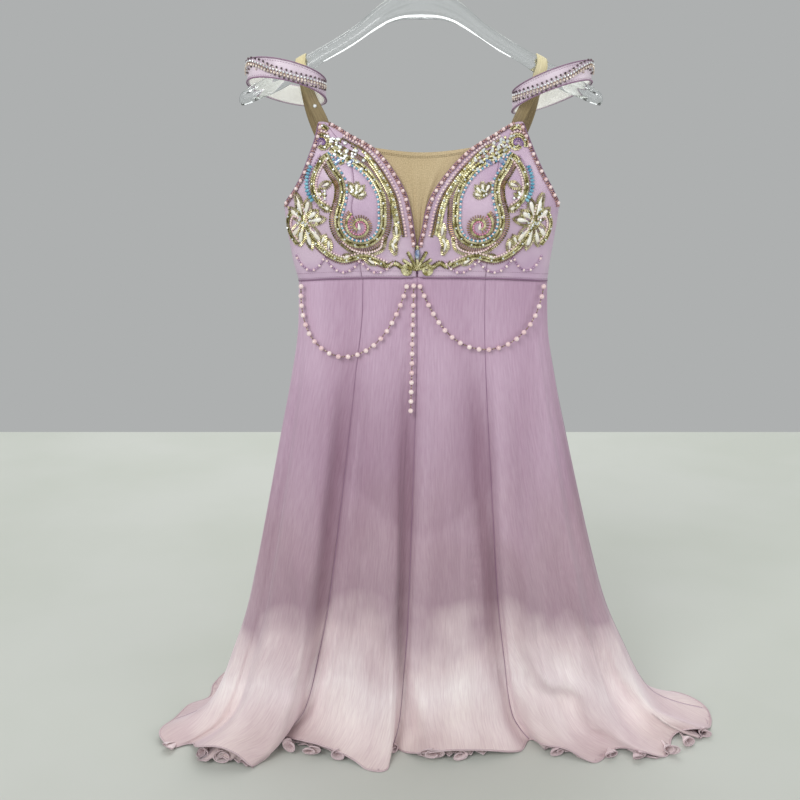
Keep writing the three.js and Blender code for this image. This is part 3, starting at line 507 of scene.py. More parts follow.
def makeFinishes():
    finishes["chiffon"] = chiffonMaterial("crinkled_silk_chiffon")
    finishes["satin"] = satinMaterial("lilac_bridal_satin", "#C2A7C0", "#D3BCCF")
    # painted light: the same lilac satin made paler for the armbands, where it takes more light
    finishes["paleSatin"] = satinMaterial("lilac_satin_painted_lighter", "#D9C6D6", "#E8DAE5")
    finishes["piping"] = satinMaterial("mauve_satin_piping", "#8A6784", "#9B7A94", 0.45)
    finishes["hem"] = satinMaterial("rolled_chiffon_hem", "#BFA9AE", "#CFBBBF", 0.6)
    finishes["blush"] = satinMaterial("blush_chiffon_curl", "#E4D2D5", "#F0E2E2", 0.65)
    finishes["lining"] = satinMaterial("white_satin_lining", "#F8F7F3", "#FFFFFC", 0.42)
    # thin white satin with painted light: it glows faintly, so that its shaded side stays bright as if daylight came
    # through it
    paintedGlow = next(node for node in finishes["lining"].node_tree.nodes if node.type == "BSDF_PRINCIPLED")
    paintedGlow.inputs["Emission Color"].default_value = toLinear("#F4F4EC")
    paintedGlow.inputs["Emission Strength"].default_value = 0.2
    finishes["nudeMesh"] = knitMaterial("nude_stretch_mesh", "#C8B38C", "#D3BF99", 1.1, 1.6, 0.6, 0.35)
    # painted shade: the lower strap is darkened where it hangs under the armband
    finishes["elastic"] = knitMaterial(
        "nude_ribbed_elastic", "#E6D9A8", "#F6EEC8", 1.3, 30.0, 0.55, 0.8, foot=("#A0958A", -0.205, -0.168),
    )
    finishes["leotard"] = knitMaterial("lilac_stretch_knit", "#A888A6", "#B696B4", 1.2, 5.0, 0.5, 0.3)
    finishes["thread"] = beadMaterial("mauve_sewing_thread", "#9A7A92", "#B295AB", 90.0, {"Roughness": 0.6})
    # the gold runs from dull to near white from bead to bead: partly the metal's own unevenness, partly painted glints
    finishes["gold"] = beadMaterial("gold_plated_bead_painted_glints", "#8E8450", "#F0EABF", 190.0, {"Metallic": 1.0, "Roughness": 0.3})
    finishes["darkGold"] = beadMaterial("antique_gold_bead", "#5C5330", "#9A8D56", 190.0, {"Metallic": 1.0, "Roughness": 0.34})
    finishes["bronze"] = beadMaterial("bronze_lined_glass", "#7C6042", "#B29068", 140.0, {"Metallic": 0.5, "Roughness": 0.25})
    finishes["brown"] = beadMaterial("brown_glass_seed", "#79575A", "#A5807F", 140.0, {"Roughness": 0.22, "Metallic": 0.2})
    finishes["turquoise"] = beadMaterial("turquoise_glass_bead", "#478FAE", "#8CC8DA", 90.0, {"Roughness": 0.2, "Coat Weight": 0.5})
    finishes["pinkPearl"] = beadMaterial("pale_pink_glass_pearl", "#EBC9CB", "#F9E6E2", 70.0, {
        "Roughness": 0.2, "Coat Weight": 0.7, "Coat Roughness": 0.12, "Sheen Weight": 0.3,
    })
    finishes["whitePearl"] = beadMaterial("white_glass_pearl", "#EDE6D6", "#FBF8F0", 70.0, {
        "Roughness": 0.18, "Coat Weight": 0.8, "Coat Roughness": 0.1,
    })
    finishes["roseSeed"] = beadMaterial("rose_gold_glass_seed", "#A87E79", "#D4AAA2", 140.0, {"Roughness": 0.22, "Metallic": 0.3})
    finishes["smoke"] = beadMaterial("smoky_glass_seed", "#493D42", "#7B6A6C", 140.0, {"Roughness": 0.15, "Metallic": 0.3})
    finishes["champagne"] = beadMaterial("champagne_cut_glass", "#C8B4A4", "#F3E8DC", 150.0, {
        "Roughness": 0.12, "Metallic": 0.3, "Coat Weight": 0.8,
    })
    finishes["mauvePearl"] = beadMaterial("mauve_glass_pearl", "#A583A4", "#C3A4C0", 110.0, {
        "Roughness": 0.22, "Coat Weight": 0.6, "Coat Roughness": 0.12,
    })
    finishes["pinkSeed"] = beadMaterial("rose_glass_seed", "#C9799A", "#EBA9BF", 120.0, {"Roughness": 0.2, "Coat Weight": 0.4})
    finishes["purpleSeed"] = beadMaterial("violet_glass_seed", "#6B4C86", "#9A78AC", 120.0, {"Roughness": 0.2, "Coat Weight": 0.4})
    finishes["crystal"] = beadMaterial("clear_cut_glass", "#D9E0E2", "#FFFFFF", 150.0, {
        "Roughness": 0.06, "Metallic": 0.35, "Specular IOR Level": 0.8, "Coat Weight": 1.0,
    })
    finishes["blueCrystal"] = beadMaterial("blue_violet_cut_glass", "#6378AC", "#D3DCF0", 260.0, {
        "Roughness": 0.05, "Metallic": 0.45, "Coat Weight": 1.0,
    })
    finishes["clearPlastic"] = startMaterial("clear_acrylic", {
        "Base Color": toLinear("#F4F8F8"), "Roughness": 0.03, "Transmission Weight": 0.95, "IOR": 1.49,
    })[0]
    finishes["steel"] = beadMaterial("polished_steel_rod", "#BFC3C6", "#D6DADC", 30.0, {"Metallic": 1.0, "Roughness": 0.16})


def clearPlasticDetail():
    # moulded acrylic: clear, with painted shade that greys its colour where the surface turns away from view, standing
    # in for its dark edge lines, and faint flow lines that bend what is seen through it
    tree = finishes["clearPlastic"].node_tree
    shader = next(node for node in tree.nodes if node.type == "BSDF_PRINCIPLED")
    # painted shade along the edges
    edge = addNode(tree, "ShaderNodeLayerWeight", {"Blend": 0.35}).outputs["Facing"]
    tint = addNode(tree, "ShaderNodeValToRGB", {"Fac": edge})
    fillRamp(tint, [(0.3, "#F8FBFB"), (0.85, "#7F8787")])
    tree.links.new(tint.outputs["Color"], shader.inputs["Base Color"])
    place = addNode(tree, "ShaderNodeTexCoord").outputs["Object"]
    flow = addNode(tree, "ShaderNodeTexNoise", {"Vector": place, "Scale": 30.0, "Detail": 2.0})
    bump = addNode(tree, "ShaderNodeBump", {"Height": flow.outputs["Fac"], "Strength": 0.05, "Distance": 0.002})
    tree.links.new(bump.outputs["Normal"], shader.inputs["Normal"])


makeFinishes()
clearPlasticDetail()
print("finishes made")


# Beads: each shape is a profile turned round an axis, a few dozen faces
def turned(profile, sides, axis):
    # rows of (radius, height); a radius of 0 closes the shape with a pole
    radius, height = np.array(profile, float).T
    turn = np.arange(sides) * 2 * np.pi / sides
    ringPoints = np.stack([
        radius[1:-1, None] * np.cos(turn), radius[1:-1, None] * np.sin(turn),
        np.broadcast_to(height[1:-1, None], (len(radius) - 2, sides)),
    ], axis=-1).reshape(-1, 3)
    points = np.concatenate([ringPoints, [[0, 0, height[0]], [0, 0, height[-1]]]])
    s, k = np.meshgrid(np.arange(len(radius) - 3), np.arange(sides), indexing="ij")
    a, b = (s * sides + k).ravel(), (s * sides + (k + 1) % sides).ravel()
    k = np.arange(sides)
    top = (len(radius) - 3) * sides
    faces = np.concatenate([
        np.stack([a, b, b + sides], 1), np.stack([a, b + sides, a + sides], 1),
        np.stack([np.full(sides, len(points) - 2), (k + 1) % sides, k], 1),
        np.stack([np.full(sides, len(points) - 1), top + k, top + (k + 1) % sides], 1),
    ])
    if axis == "along":
        points = points[:, [2, 0, 1]]
    if axis == "across":
        points = points[:, [1, 2, 0]]
    return points, faces


def ballProfile(rows):
    angle = np.linspace(-np.pi / 2, np.pi / 2, rows)
    return np.stack([np.cos(angle) * (np.arange(rows) % (rows - 1) > 0), np.sin(angle)], axis=1) * 0.5


beadShapes = {
    "ball": (*turned(ballProfile(7), 10, "up"), True),
    "seed": (*turned(ballProfile(5), 6, "up"), True),
    "bugle": (*turned([(0, -0.5), (0.5, -0.5), (0.5, 0.5), (0, 0.5)], 6, "across"), False),
    "dash": (*turned([(0, -0.5), (0.4, -0.42), (0.5, 0), (0.4, 0.42), (0, 0.5)], 5, "along"), True),
    "sequin": (*turned([(0, -0.05), (0.5, 0.02), (0.5, 0.12), (0.2, 0.2), (0, 0.12)], 8, "up"), False),
    "stone": (*turned([(0, 0), (0.46, 0.0), (0.5, 0.14), (0.3, 0.36), (0, 0.38)], 8, "up"), False),
    "drop": (*turned([(0, -0.5), (0.13, -0.4), (0.3, -0.08), (0.44, 0.2), (0.3, 0.42), (0, 0.5)], 8, "along"), True),
}


def newWork():
    return {"points": [], "faces": [], "finish": [], "smooth": [], "names": [], "count": 0}


def placeBeads(work, shape, finish, place, along, up, size):
    # every bead is the template, stretched by its size and turned into the three directions at its place
    points, faces, smooth = beadShapes[shape]
    along = unit(along - np.sum(along * up, axis=-1, keepdims=True) * up)
    axes = np.stack([along, np.cross(up, along), up], axis=-2)
    size = np.broadcast_to(np.asarray(size, float), (len(place), 3))
    placed = place[:, None] + np.einsum("nmk,nkj->nmj", points[None] * size[:, None], axes)
    if finish not in work["names"]:
        work["names"].append(finish)
    starts = work["count"] + np.arange(len(place)) * len(points)
    work["points"].append(placed.reshape(-1, 3))
    work["faces"].append((faces[None] + starts[:, None, None]).reshape(-1, 3))
    total = len(place) * len(faces)
    work["finish"].append(np.full(total, work["names"].index(finish)))
    work["smooth"].append(np.full(total, smooth))
    work["count"] += len(place) * len(points)


def addTubeTo(work, finish, path, radius, sides=6):
    points, faces = tubeMesh(path, radius, sides)
    if finish not in work["names"]:
        work["names"].append(finish)
    work["points"].append(points)
    work["faces"].append(faces + work["count"])
    work["finish"].append(np.full(len(faces), work["names"].index(finish)))
    work["smooth"].append(np.full(len(faces), True))
    work["count"] += len(points)


def addStripTo(work, finish, grid, wall):
    # thin closed strip: the grid and its copy moved back by the wall, joined along all four edges
    columns, rows = grid.shape[:2]
    both = np.stack([grid, grid - gridNormals(grid) * wall])
    quads = gridFaces(columns, rows)
    c, r, lift = np.arange(columns - 1), np.arange(rows - 1), columns * rows
    low, high, first, last = c * rows, c * rows + rows - 1, r, (columns - 1) * rows + r
    rims = [
        np.stack([low + rows, low, low + lift, low + rows + lift], 1), np.stack([high, high + rows, high + rows + lift, high + lift], 1),
        np.stack([first, first + 1, first + 1 + lift, first + lift], 1), np.stack([last + 1, last, last + lift, last + 1 + lift], 1),
    ]
    quads = np.concatenate([quads, quads[:, ::-1] + lift, *rims])
    faces = np.concatenate([quads[:, [0, 1, 2]], quads[:, [0, 2, 3]]])
    if finish not in work["names"]:
        work["names"].append(finish)
    work["points"].append(both.reshape(-1, 3))
    work["faces"].append(faces + work["count"])
    work["finish"].append(np.full(len(faces), work["names"].index(finish)))
    work["smooth"].append(np.full(len(faces), True))
    work["count"] += both.size // 3


def finishWork(name, work, nodes=()):
    piece = addPiece(
        name, np.concatenate(work["points"]), np.concatenate(work["faces"]), [finishes[key] for key in work["names"]],
        faceFinish=np.concatenate(work["finish"]), smooth=np.concatenate(work["smooth"]),
    )
    if nodes:
        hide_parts(*nodes)
    return piece


def evenly(line, step, closed=False):
    # places at even steps along the smooth curve through the points, and the direction of the curve there
    line = np.asarray(line, float)
    last = len(line) if closed else len(line) - 1
    dense = throughPoints(line, np.linspace(0, last - 1e-6, 50 * last), closed)
    travelled = np.concatenate([[0], np.cumsum(np.linalg.norm(np.diff(dense, axis=0), axis=-1))])
    count = max(1, round(travelled[-1] / step))
    at = (np.arange(count) + 0.5) * travelled[-1] / count
    place = np.stack([np.interp(at, travelled, column) for column in dense.T], axis=-1)
    ways = unit(np.gradient(dense, axis=0))
    way = unit(np.stack([np.interp(at, travelled, column) for column in ways.T], axis=-1))
    return place, way


# The pearl strings: a thread with beads, fixed at the waist seam, that hangs under its own weight
pearlString = {"thread": 0.8, "pearl": 6.0, "step": 11.2, "clear": 0.8, "seed": 1.8}
swags = {
    "left": [
        (-134.5, -404), (-135.6, -420), (-134, -440), (-127, -462), (-113, -478), (-94, -487), (-75, -486),
        (-57, -477), (-42, -463), (-31, -446), (-21, -424), (-14, -402),
    ],
    "right": [
        (-3, -402), (5, -420), (15, -439), (28, -457), (45, -471), (64, -478), (84, -478.5), (104, -471),
        (121, -457), (132, -439), (138, -420), (140.5, -404),
    ],
    "centre": [(-7.8, -401), (-8.2, -430), (-9, -465), (-9.8, -510), (-11, -554)],
}


def addPearlString(name, rows, node):
    rows = np.array(rows, float)
    forward = np.min([skirtFront(rows[:, 0] + off, rows[:, 1]) for off in (-5, 0, 5)], axis=0)
    clear = pearlString["pearl"] / 2 + pearlString["clear"]
    line = np.stack([rows[:, 0], forward - clear, rows[:, 1]], axis=-1)
    count = len(line) - 1
    path = throughPoints(line, np.linspace(0, count - 1e-6, 8 * count + 1))
    place, way = evenly(line, pearlString["step"])
    beads = newWork()
    up = np.broadcast_to([0.0, -1.0, 0.0], place.shape)
    placeBeads(beads, "ball", "pinkPearl", place, way, up, pearlString["pearl"])
    between = (place[1:] + place[:-1]) / 2
    for off, finish in ((-1.8, "brown"), (0.0, "gold"), (1.8, "brown")):
        placeBeads(beads, "seed", finish, between + off * way[1:], way[1:], up[1:], pearlString["seed"])
    strung = finishWork(name + "_beads", beads)
    points, faces = tubeMesh(path, pearlString["thread"] / 2, 6)
    thread = addPiece(name + "_thread", points, faces, [finishes["thread"]])
    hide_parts(node)


addPearlString("pearls_left", swags["left"], "pearl_swag_left")
addPearlString("pearls_right", swags["right"], "pearl_swag_right")
addPearlString("pearls_centre", swags["centre"], "pearl_drop_centre")
print("pearl strings hung")


# Skirt cloth
skirtCloth = {
    "perFold": 10, "rows": 120, "wall": 0.7, "flutter": 1.6, "longFold": 0.9, "hemRadius": 1.0, "rounding": 16,
    "softening": 60, "pleat": 5.0, "pleatReach": 11.0,
}
pleatSeams = {0: 1.0, 6: 1.0, 48: 1.0, 16: 0.5, 22: 0.7, 28: 0.9, 35: 0.7, 40: 0.5}
underLayer = {"perFold": 6, "rows": 64, "inset": 5.0, "hemInset": 3.0, "wave": 3.6, "lift": 0.25}
# where the under layer's hem curls up: across, forward, radius across, radius up, turns, and its way in degrees
hemCurls = [
    (-304, -95, 11.0, 5.0, 1.2, -24), (-259, -110, 9.5, 8.0, -1.3, -14), (-233, -117, 12.5, 7.5, 1.4, -6),
    (-207, -120, 10.0, 6.0, -1.2, 6), (-156, -100, 11.0, 8.5, 1.1, -8), (-131, -108, 13.5, 8.0, -1.4, 4),
    (-96, -112, 10.0, 6.0, 1.2, 6), (-30, -100, 5.0, 5.0, -1.2, 0), (16, -114, 18.0, 8.5, 1.7, -4),
    (48, -112, 12.0, 5.0, -1.2, 6), (168, -104, 12.0, 4.5, 1.1, 4), (232, -109, 10.0, 5.0, 1.4, 4),
    (262, -113, 11.0, 5.2, -1.4, 5), (303, -103, 11.0, 6.4, -1.6, 8), (331, -85, 10.0, 5.6, 1.4, 10),
    (357, -68, 9.0, 5.4, 1.3, 12),
]
# creases of the skirt's front: height (a trough is below 0), half width, and places (across, up) from the top down
creases = [
    (-9, 10, [(-84, -680), (-95, -766), (-107, -810), (-128, -863), (-146, -892)]),
    (6, 10, [(-150, -700), (-142, -771), (-137, -828), (-146, -887), (-169, -918), (-179, -951)]),
    (5, 9, [(-52, -760), (-36, -823), (-29, -855), (-31, -901), (-38, -958)]),
    (-8, 8, [(-25, -752), (-26, -790), (-26, -829), (-18, -892), (-6, -949)]),
    (4, 9, [(-4, -700), (-12, -784), (-12, -849), (4, -928)]),
    (-7, 8, [(64, -680), (71, -800), (86, -862), (113, -909), (129, -949)]),
    (-8, 13, [(90, -700), (99, -773), (122, -857), (149, -898), (182, -914)]),
    (9, 11, [(116, -700), (131, -773), (131, -842), (149, -876), (190, -896), (210, -941)]),
    (-7, 9, [(165, -690), (181, -800), (208, -850), (226, -884), (265, -928)]),
    (6, 10, [(186, -700), (200, -800), (228, -846), (248, -878), (286, -920), (304, -950)]),
    (-4, 12, [(-208, -700), (-226, -800), (-252, -880), (-282, -935)]),
    (4, 12, [(34, -620), (38, -760), (46, -850), (60, -940)]),
    (-4, 14, [(-60, -520), (-62, -620), (-66, -720)]),
    (-4, 14, [(58, -500), (62, -600), (66, -690)]),
    (3, 14, [(-100, -500), (-108, -620), (-118, -740)]),
    (3, 14, [(104, -500), (112, -620), (120, -720)]),
]


def creased(grid):
    # height * exp(-(distance / half width)^2) for every crease, growing over its first 60 mm, forward on the front;
    # the back has its mirror image
    flat = grid.reshape(-1, 3)
    x, z = flat[:, 0] * np.where(flat[:, 1] < 0, 1, -1), flat[:, 2]
    total = np.zeros(len(flat))
    for height, width, places in creases:
        line = throughPoints(places, np.linspace(0, len(places) - 1 - 1e-6, 40))
        away = ((x[:, None] - line[:, 0]) ** 2 + (z[:, None] - line[:, 1]) ** 2).min(axis=1)
        total += height * np.exp(-away / width**2) * ease(places[0][1] + 10, places[0][1] - 60, z)
    side = -np.tanh(flat[:, 1] / 25)
    moved = grid.copy()
    moved[..., 1] -= (total * side * ease(-420, -520, z)).reshape(grid.shape[:2])
    return moved


def fromSeam(grid, seam, perFold):
    # how far along each level of the ring a point lies from a seam, in millimetres, positive towards the next gore
    step = np.linalg.norm(np.diff(np.concatenate([grid, grid[:1]]), axis=0), axis=-1)
    total = step.sum(axis=0)
    travelled = np.cumsum(step, axis=0) - step
    away = travelled - travelled[seam * perFold]
    return (away + total / 2) % total - total / 2


def pleated(grid, out, w, perFold):
    # valley before each seam and ridge after it: pleat * (exp(-((d - reach) / reach)^2) - exp(-((d + reach) / reach)^2))
    reach = skirtCloth["pleatReach"]
    height = 0
    for seam, share in pleatSeams.items():
        d = fromSeam(grid, seam, perFold)
        height = height + share * (np.exp(-(((d - reach) / reach) ** 2)) - np.exp(-(((d + reach) / reach) ** 2)))
    grow = ease(0.06, 0.32, w) * mix(1, 0.5, ease(0.6, 0.95, w))
    return grid + out * (skirtCloth["pleat"] * height * grow)[..., None]


def softened(grid, w, times, low, high):
    # each point moves half way to the middle of its neighbours along the level, between two shares of the way down
    soft = 0.5 * (ease(low[0], low[1], w) * ease(high[1], high[0], w))[..., None]
    for _ in range(times):
        grid = mix(grid, (np.roll(grid, 1, axis=0) + np.roll(grid, -1, axis=0)) / 2, soft)
    return grid


def skirtGrid():
    # the ring of the solids with small waves added along the normal; they grow with the square of the way down
    v = 1 - (1 - np.linspace(0, 1, skirtCloth["rows"])) ** 1.25
    at = np.arange(len(folds) * skirtCloth["perFold"]) / skirtCloth["perFold"]
    grid = skirtRing(v, at).transpose(1, 0, 2)
    grid = softened(grid, v[None], skirtCloth["softening"], (0.05, 0.2), (0.7, 0.95))
    out = gridNormals(grid, ring=True)
    if np.sum(out[..., :2] * grid[..., :2]) < 0:
        out = -out
    grid = pleated(grid, out, v[None], skirtCloth["perFold"])
    turn = 2 * np.pi * at / len(folds)
    u, w = turn[:, None], v[None]
    waves = np.sin(73 * u + 3 * w) + 0.6 * np.sin(121 * u - 2 * w + 1.3) + 0.4 * np.sin(187 * u + 5 * w + 0.7)
    long = (np.sin(23 * u + 2.0 * w) + 0.6 * np.sin(41 * u - 1.5 * w + 2)) * np.sin(np.pi * w) ** 1.5
    height = skirtCloth["flutter"] * (waves - 1.2) * w**4 + skirtCloth["longFold"] * (long - 0.8 * np.sin(np.pi * w))
    grid = creased(grid + out * height[..., None])
    grid = softened(grid, w, skirtCloth["rounding"], (0.8, 1.0), (1.1, 1.2))
    grid[..., 2] = np.maximum(grid[..., 2], floorLevel + 0.9)
    return grid, v, out


def addUnderLayer():
    # second layer of chiffon inside the first; its hem lies on the table in small waves and curls
    v = 1 - (1 - np.linspace(0.004, 1, underLayer["rows"])) ** 1.25
    at = np.arange(len(folds) * underLayer["perFold"]) / underLayer["perFold"]
    grid = skirtRing(v, at).transpose(1, 0, 2)
    grid = softened(grid, v[None], skirtCloth["softening"] // 3, (0.05, 0.2), (0.7, 0.95))
    out = gridNormals(grid, ring=True)
    if np.sum(out[..., :2] * grid[..., :2]) < 0:
        out = -out
    grid = pleated(grid, out, v[None], underLayer["perFold"])
    flat = unit(out * np.array([1, 1, 0.1]))
    turn = (2 * np.pi * at / len(folds))[:, None]
    w = v[None]
    inset = underLayer["inset"] + underLayer["hemInset"] * w**4
    wave = underLayer["wave"] * w**6 * (np.sin(112 * turn + 1) + 0.7 * np.sin(171 * turn))
    grid = creased(grid + flat * (wave - inset)[..., None])
    height = grid[..., 2] - floorLevel
    lowered = mix(height, np.minimum(height, 1.0 + underLayer["lift"] * height), ease(0.93, 1.0, w))
    grid[..., 2] = floorLevel + np.maximum(lowered, 1.0)
    curls = newWork()
    for x, y, across, up, turns, heading in hemCurls:
        # spiral profile, (1 - 0.66 s) of both radii at the angle 2 pi turns s, carried back along the way it faces
        share = np.linspace(0, 1, 48)
        angle = np.pi * (0.5 + 2 * turns * share)
        size = (1 - 0.66 * share) * (1 + 0.08 * np.sin(9 * share + x))
        facing = np.radians(heading)
        back = np.array([-np.sin(facing), np.cos(facing), 0.0])
        side = np.array([np.cos(facing), np.sin(facing), 0.0])
        centre = np.array([x, y, floorLevel + up * 1.08 + 1.2])
        profile = centre + (across * size * np.cos(angle))[:, None] * side + (up * size * np.sin(angle))[:, None] * [0, 0, 1]
        profile = profile + (3.0 * np.sin(7 * share + y))[:, None] * back
        deep = np.linspace(0, 26, 12)
        narrow = (1 - 0.85 * ease(0, 18, deep))[None, :, None]
        floorSpot = centre * [1, 1, 0] + np.array([0, 0, floorLevel + 1.8])
        rolled = floorSpot + (profile[:, None] - floorSpot) * narrow + deep[None, :, None] * back
        addStripTo(curls, "blush", rolled, 0.35)
        addTubeTo(curls, "hem", profile, 0.8, 5)
    loop = np.concatenate([grid[:, -1], grid[:1, -1]])
    addTubeTo(curls, "hem", loop, skirtCloth["hemRadius"], 5)
    curled = finishWork("under_layer_hem", curls)
    blush = {"drop": np.broadcast_to(w, grid.shape[:2]), "behind": np.zeros(grid.shape[:2])}
    addCloth(
        "chiffon_under_layer", grid, out, 0.6, finishes["chiffon"], ring=True, attributes=blush,
    )


def addSkirt():
    grid, v, out = skirtGrid()
    # painted shade and highlight: the colour is darker in the valley before each seam, where the fold lies in shade,
    # and lighter on the ridge after it, where it catches the light
    deep = np.full(grid.shape[:2], 0.24)
    for seam, share in pleatSeams.items():
        d = fromSeam(grid, seam, skirtCloth["perFold"])
        valley = np.exp(-(((d + 12) / 12) ** 2)) + 0.45 * np.exp(-((d / 2.0) ** 2))
        deep += share * (0.8 * valley - 0.24 * np.exp(-(((d - 15) / 11) ** 2)))
    deep = np.clip(deep, 0, 1) * ease(0.08, 0.42, v) * mix(1, 0.3, ease(0.64, 0.88, v))
    hem = newWork()
    for name, start, end in zip(goreNames, goreSeams, goreSeams[1:]):
        first, last = start * skirtCloth["perFold"], end * skirtCloth["perFold"]
        index = np.arange(first, last + 1) % len(grid)
        gore = grid[index].copy()
        gap = 0.15 * unit(gore[1] - gore[0])
        gore[0] += gap
        gore[-1] -= 0.15 * unit(gore[-1] - gore[-2])
        x, z = gore[..., 0], gore[..., 2]
        # the leotard shows through as a soft shade down to its leg line, which rises to the sides
        reach = np.clip(np.abs(x - waist["middleX"]) / leotardCut["hipHalf"], 0, 1)
        legLine = mix(-702, -600, reach**1.3)
        behind = 0.26 * ease(legLine - 8, legLine + 10, z) * ease(-450, -600, z) * ease(1.0, 0.6, reach)
        drop = np.broadcast_to(v, x.shape)
        # the "behind" attribute carries the leotard's tone together with the painted valley shade and ridge highlight
        addCloth(
            "chiffon_" + name[6:], gore, out[index], skirtCloth["wall"], finishes["chiffon"], node=name,
            attributes={"drop": drop, "behind": behind + deep[index]},
        )
        seam = gore[0] - out[index[0]] * 0.25
        addTubeTo(hem, "piping", seam[:-2], 0.5, 5)
    ringPath = np.concatenate([grid[:, -1], grid[:1, -1]])
    ringPath[:, 2] = np.maximum(ringPath[:, 2], floorLevel + skirtCloth["hemRadius"] + 0.1)
    addTubeTo(hem, "hem", ringPath, skirtCloth["hemRadius"], 6)
    finishWork("rolled_hem_and_seams", hem)
    print("skirt hung")


# Bodice cloth
bodiceCloth = {"columns": 40, "rows": 80, "wall": 1.4, "gap": 0.0012}


def addBodice():
    front = np.array([0.0, -1.0, 0.0])
    rows = np.linspace(0, 1, bodiceCloth["rows"])
    gap = bodiceCloth["gap"]
    for hand in ("left", "right"):
        seam = princess[hand]
        for part, low, high in (("centre", 0, seam), ("side", seam, 1)):
            w, v = np.meshgrid(np.linspace(low + gap, high - gap, bodiceCloth["columns"]), rows, indexing="ij")
            addCloth(
                f"satin_front_{part}_{hand}", frontHalf(hand, w, v), front, bodiceCloth["wall"], finishes["satin"],
                node=f"bodice_front_{part}_{hand}",
            )
        w, v = np.meshgrid(np.linspace(gap, 1 - gap, 48), np.linspace(0, 1, 40), indexing="ij")
        addCloth(
            f"satin_back_{hand}", backHalf(hand, w, v), -front, bodiceCloth["wall"], finishes["satin"],
            node=f"bodice_back_{hand}",
        )
    u, v = np.meshgrid(np.linspace(-9, 9, 12), np.linspace(0, 1, 16), indexing="ij")
    x = waist["centreX"] + u
    z = mix(waist["z"] + 2, backTop["centreZ"] - 1, v)
    placket = np.stack([x, backY(x, z) - 1.9, z], axis=-1)
    addCloth("satin_placket", placket, -front, 1.4, finishes["satin"], node="back_placket")
    print("bodice made")


addBodice()

insertCut = {"topZ": -262.0, "sideTopZ": -255.0, "overlap": 5.0, "clear": 2.5, "crease": 0.9}


def addInsert():
    # stands 2.5 mm behind the satin; soft creases run up from the foot of the V and open out
    u, v = np.meshgrid(np.linspace(0, 1, 60), np.linspace(0, 1, 60), indexing="ij")
    top = mix(insertCut["topZ"], insertCut["sideTopZ"], (2 * u - 1) ** 2)
    z = mix(vBottomZ - 6, top, v)
    left = readTable(neckLine["z"], neckLine["left"], z) - insertCut["overlap"]
    right = readTable(neckLine["z"], neckLine["right"], z) + insertCut["overlap"]
    x = mix(left, right, u)
    crease = insertCut["crease"] * np.sin(v * np.pi) * (np.sin(26 * u + 2 * v) + 0.6 * np.sin(43 * u + 1))
    grid, out = onFront(x, z, -insertCut["clear"] - insertCut["crease"] + 0.6 * crease)
    addCloth(
        "mesh_insert", grid, np.array([0.0, -1.0, 0.0]), 0.9, finishes["nudeMesh"],
        node="insert_nude_mesh",
    )
    stitches = newWork()
    for below in (4.5, 6.0):
        line = np.stack([mix(left[:, -1] + 6, right[:, -1] - 6, np.linspace(0, 1, 60)), top[:, -1] - below], axis=-1)
        place, way = evenly(line[::6], 2.6)
        spots, up = onFront(place[:, 0], place[:, 1], -insertCut["clear"] + 0.1)
        along = np.stack([way[:, 0], np.zeros(len(way)), way[:, 1]], axis=-1)
        placeBeads(stitches, "dash", "elastic", spots, along, up, (2.0, 0.45, 0.45))
    finishWork("insert_topstitching", stitches)


addInsert()

leotardCut = {"crotchZ": -717.0, "legTopZ": -590.0, "hipHalf": 126.0, "inset": 3.5, "fromWaistZ": 0.5, "gap": 0.15}

addSkirt()
addUnderLayer()


def addLeotard():
    # front and back curved panels that close towards the crotch; the leg line rises to the sides
    u, v = np.meshgrid(np.linspace(0.004, 0.996, 70), np.linspace(0, 1, 50), indexing="ij")
    w = 2 * u - 1
    share = np.abs(np.sin(w * np.pi / 2)) ** 0.8 * np.sign(w)
    reach = np.abs(share)
    legZ = mix(leotardCut["crotchZ"], leotardCut["legTopZ"], np.maximum(reach - 0.2, 0) ** 0.9 * 1.22)
    z = mix(waistZ(reach) - leotardCut["fromWaistZ"], legZ, v)
    down = (waist["z"] - z) / (waist["z"] - leotardCut["crotchZ"])
    halfTop = waist["halfWidth"] - leotardCut["inset"]
    x = waist["middleX"] + share * mix(halfTop, leotardCut["hipHalf"], np.minimum(2 * down, 1))
    close = 1 - np.maximum((down - 0.4) / 0.6, 0) ** 2
    for part, facing in (("front", -1), ("back", 1)):
        depth = waistDepth[part] - leotardCut["inset"]
        y = facing * (depth * (1 - reach**2.5) ** 0.4 * close + leotardCut["gap"] + 1.2)
        grid = np.stack([x, y, z], axis=-1)
        addCloth(
            "knit_leotard_" + part, grid, np.array([0.0, facing, 0.0]), 1.0, finishes["leotard"],
            node="leotard_" + part,
        )
    print("leotard hung")


addLeotard()

# Clear hanger: one row for each section of an arm
hangerRows = np.array([
    (0, -86, -125.3, 8), (11, -88, -125.4, 8), (22, -95, -126.2, 8), (36, -104, -129.5, 7.5), (52, -116, -137.5, 7),
    (66, -127.5, -146.5, 6.5), (82, -138, -156, 6.5), (106, -151.5, -168.5, 7), (130, -164, -183.5, 8),
    (150, -174, -195.5, 9.5), (170, -184.5, -204, 11), (190, -195.5, -211.8, 12), (196.5, -200, -213.4, 9),
    (199, -204.5, -210.5, 4),
])


def hangerAt(x, column):
    return readTable(hangerRows[:, 0], hangerRows[:, column], np.abs(x))


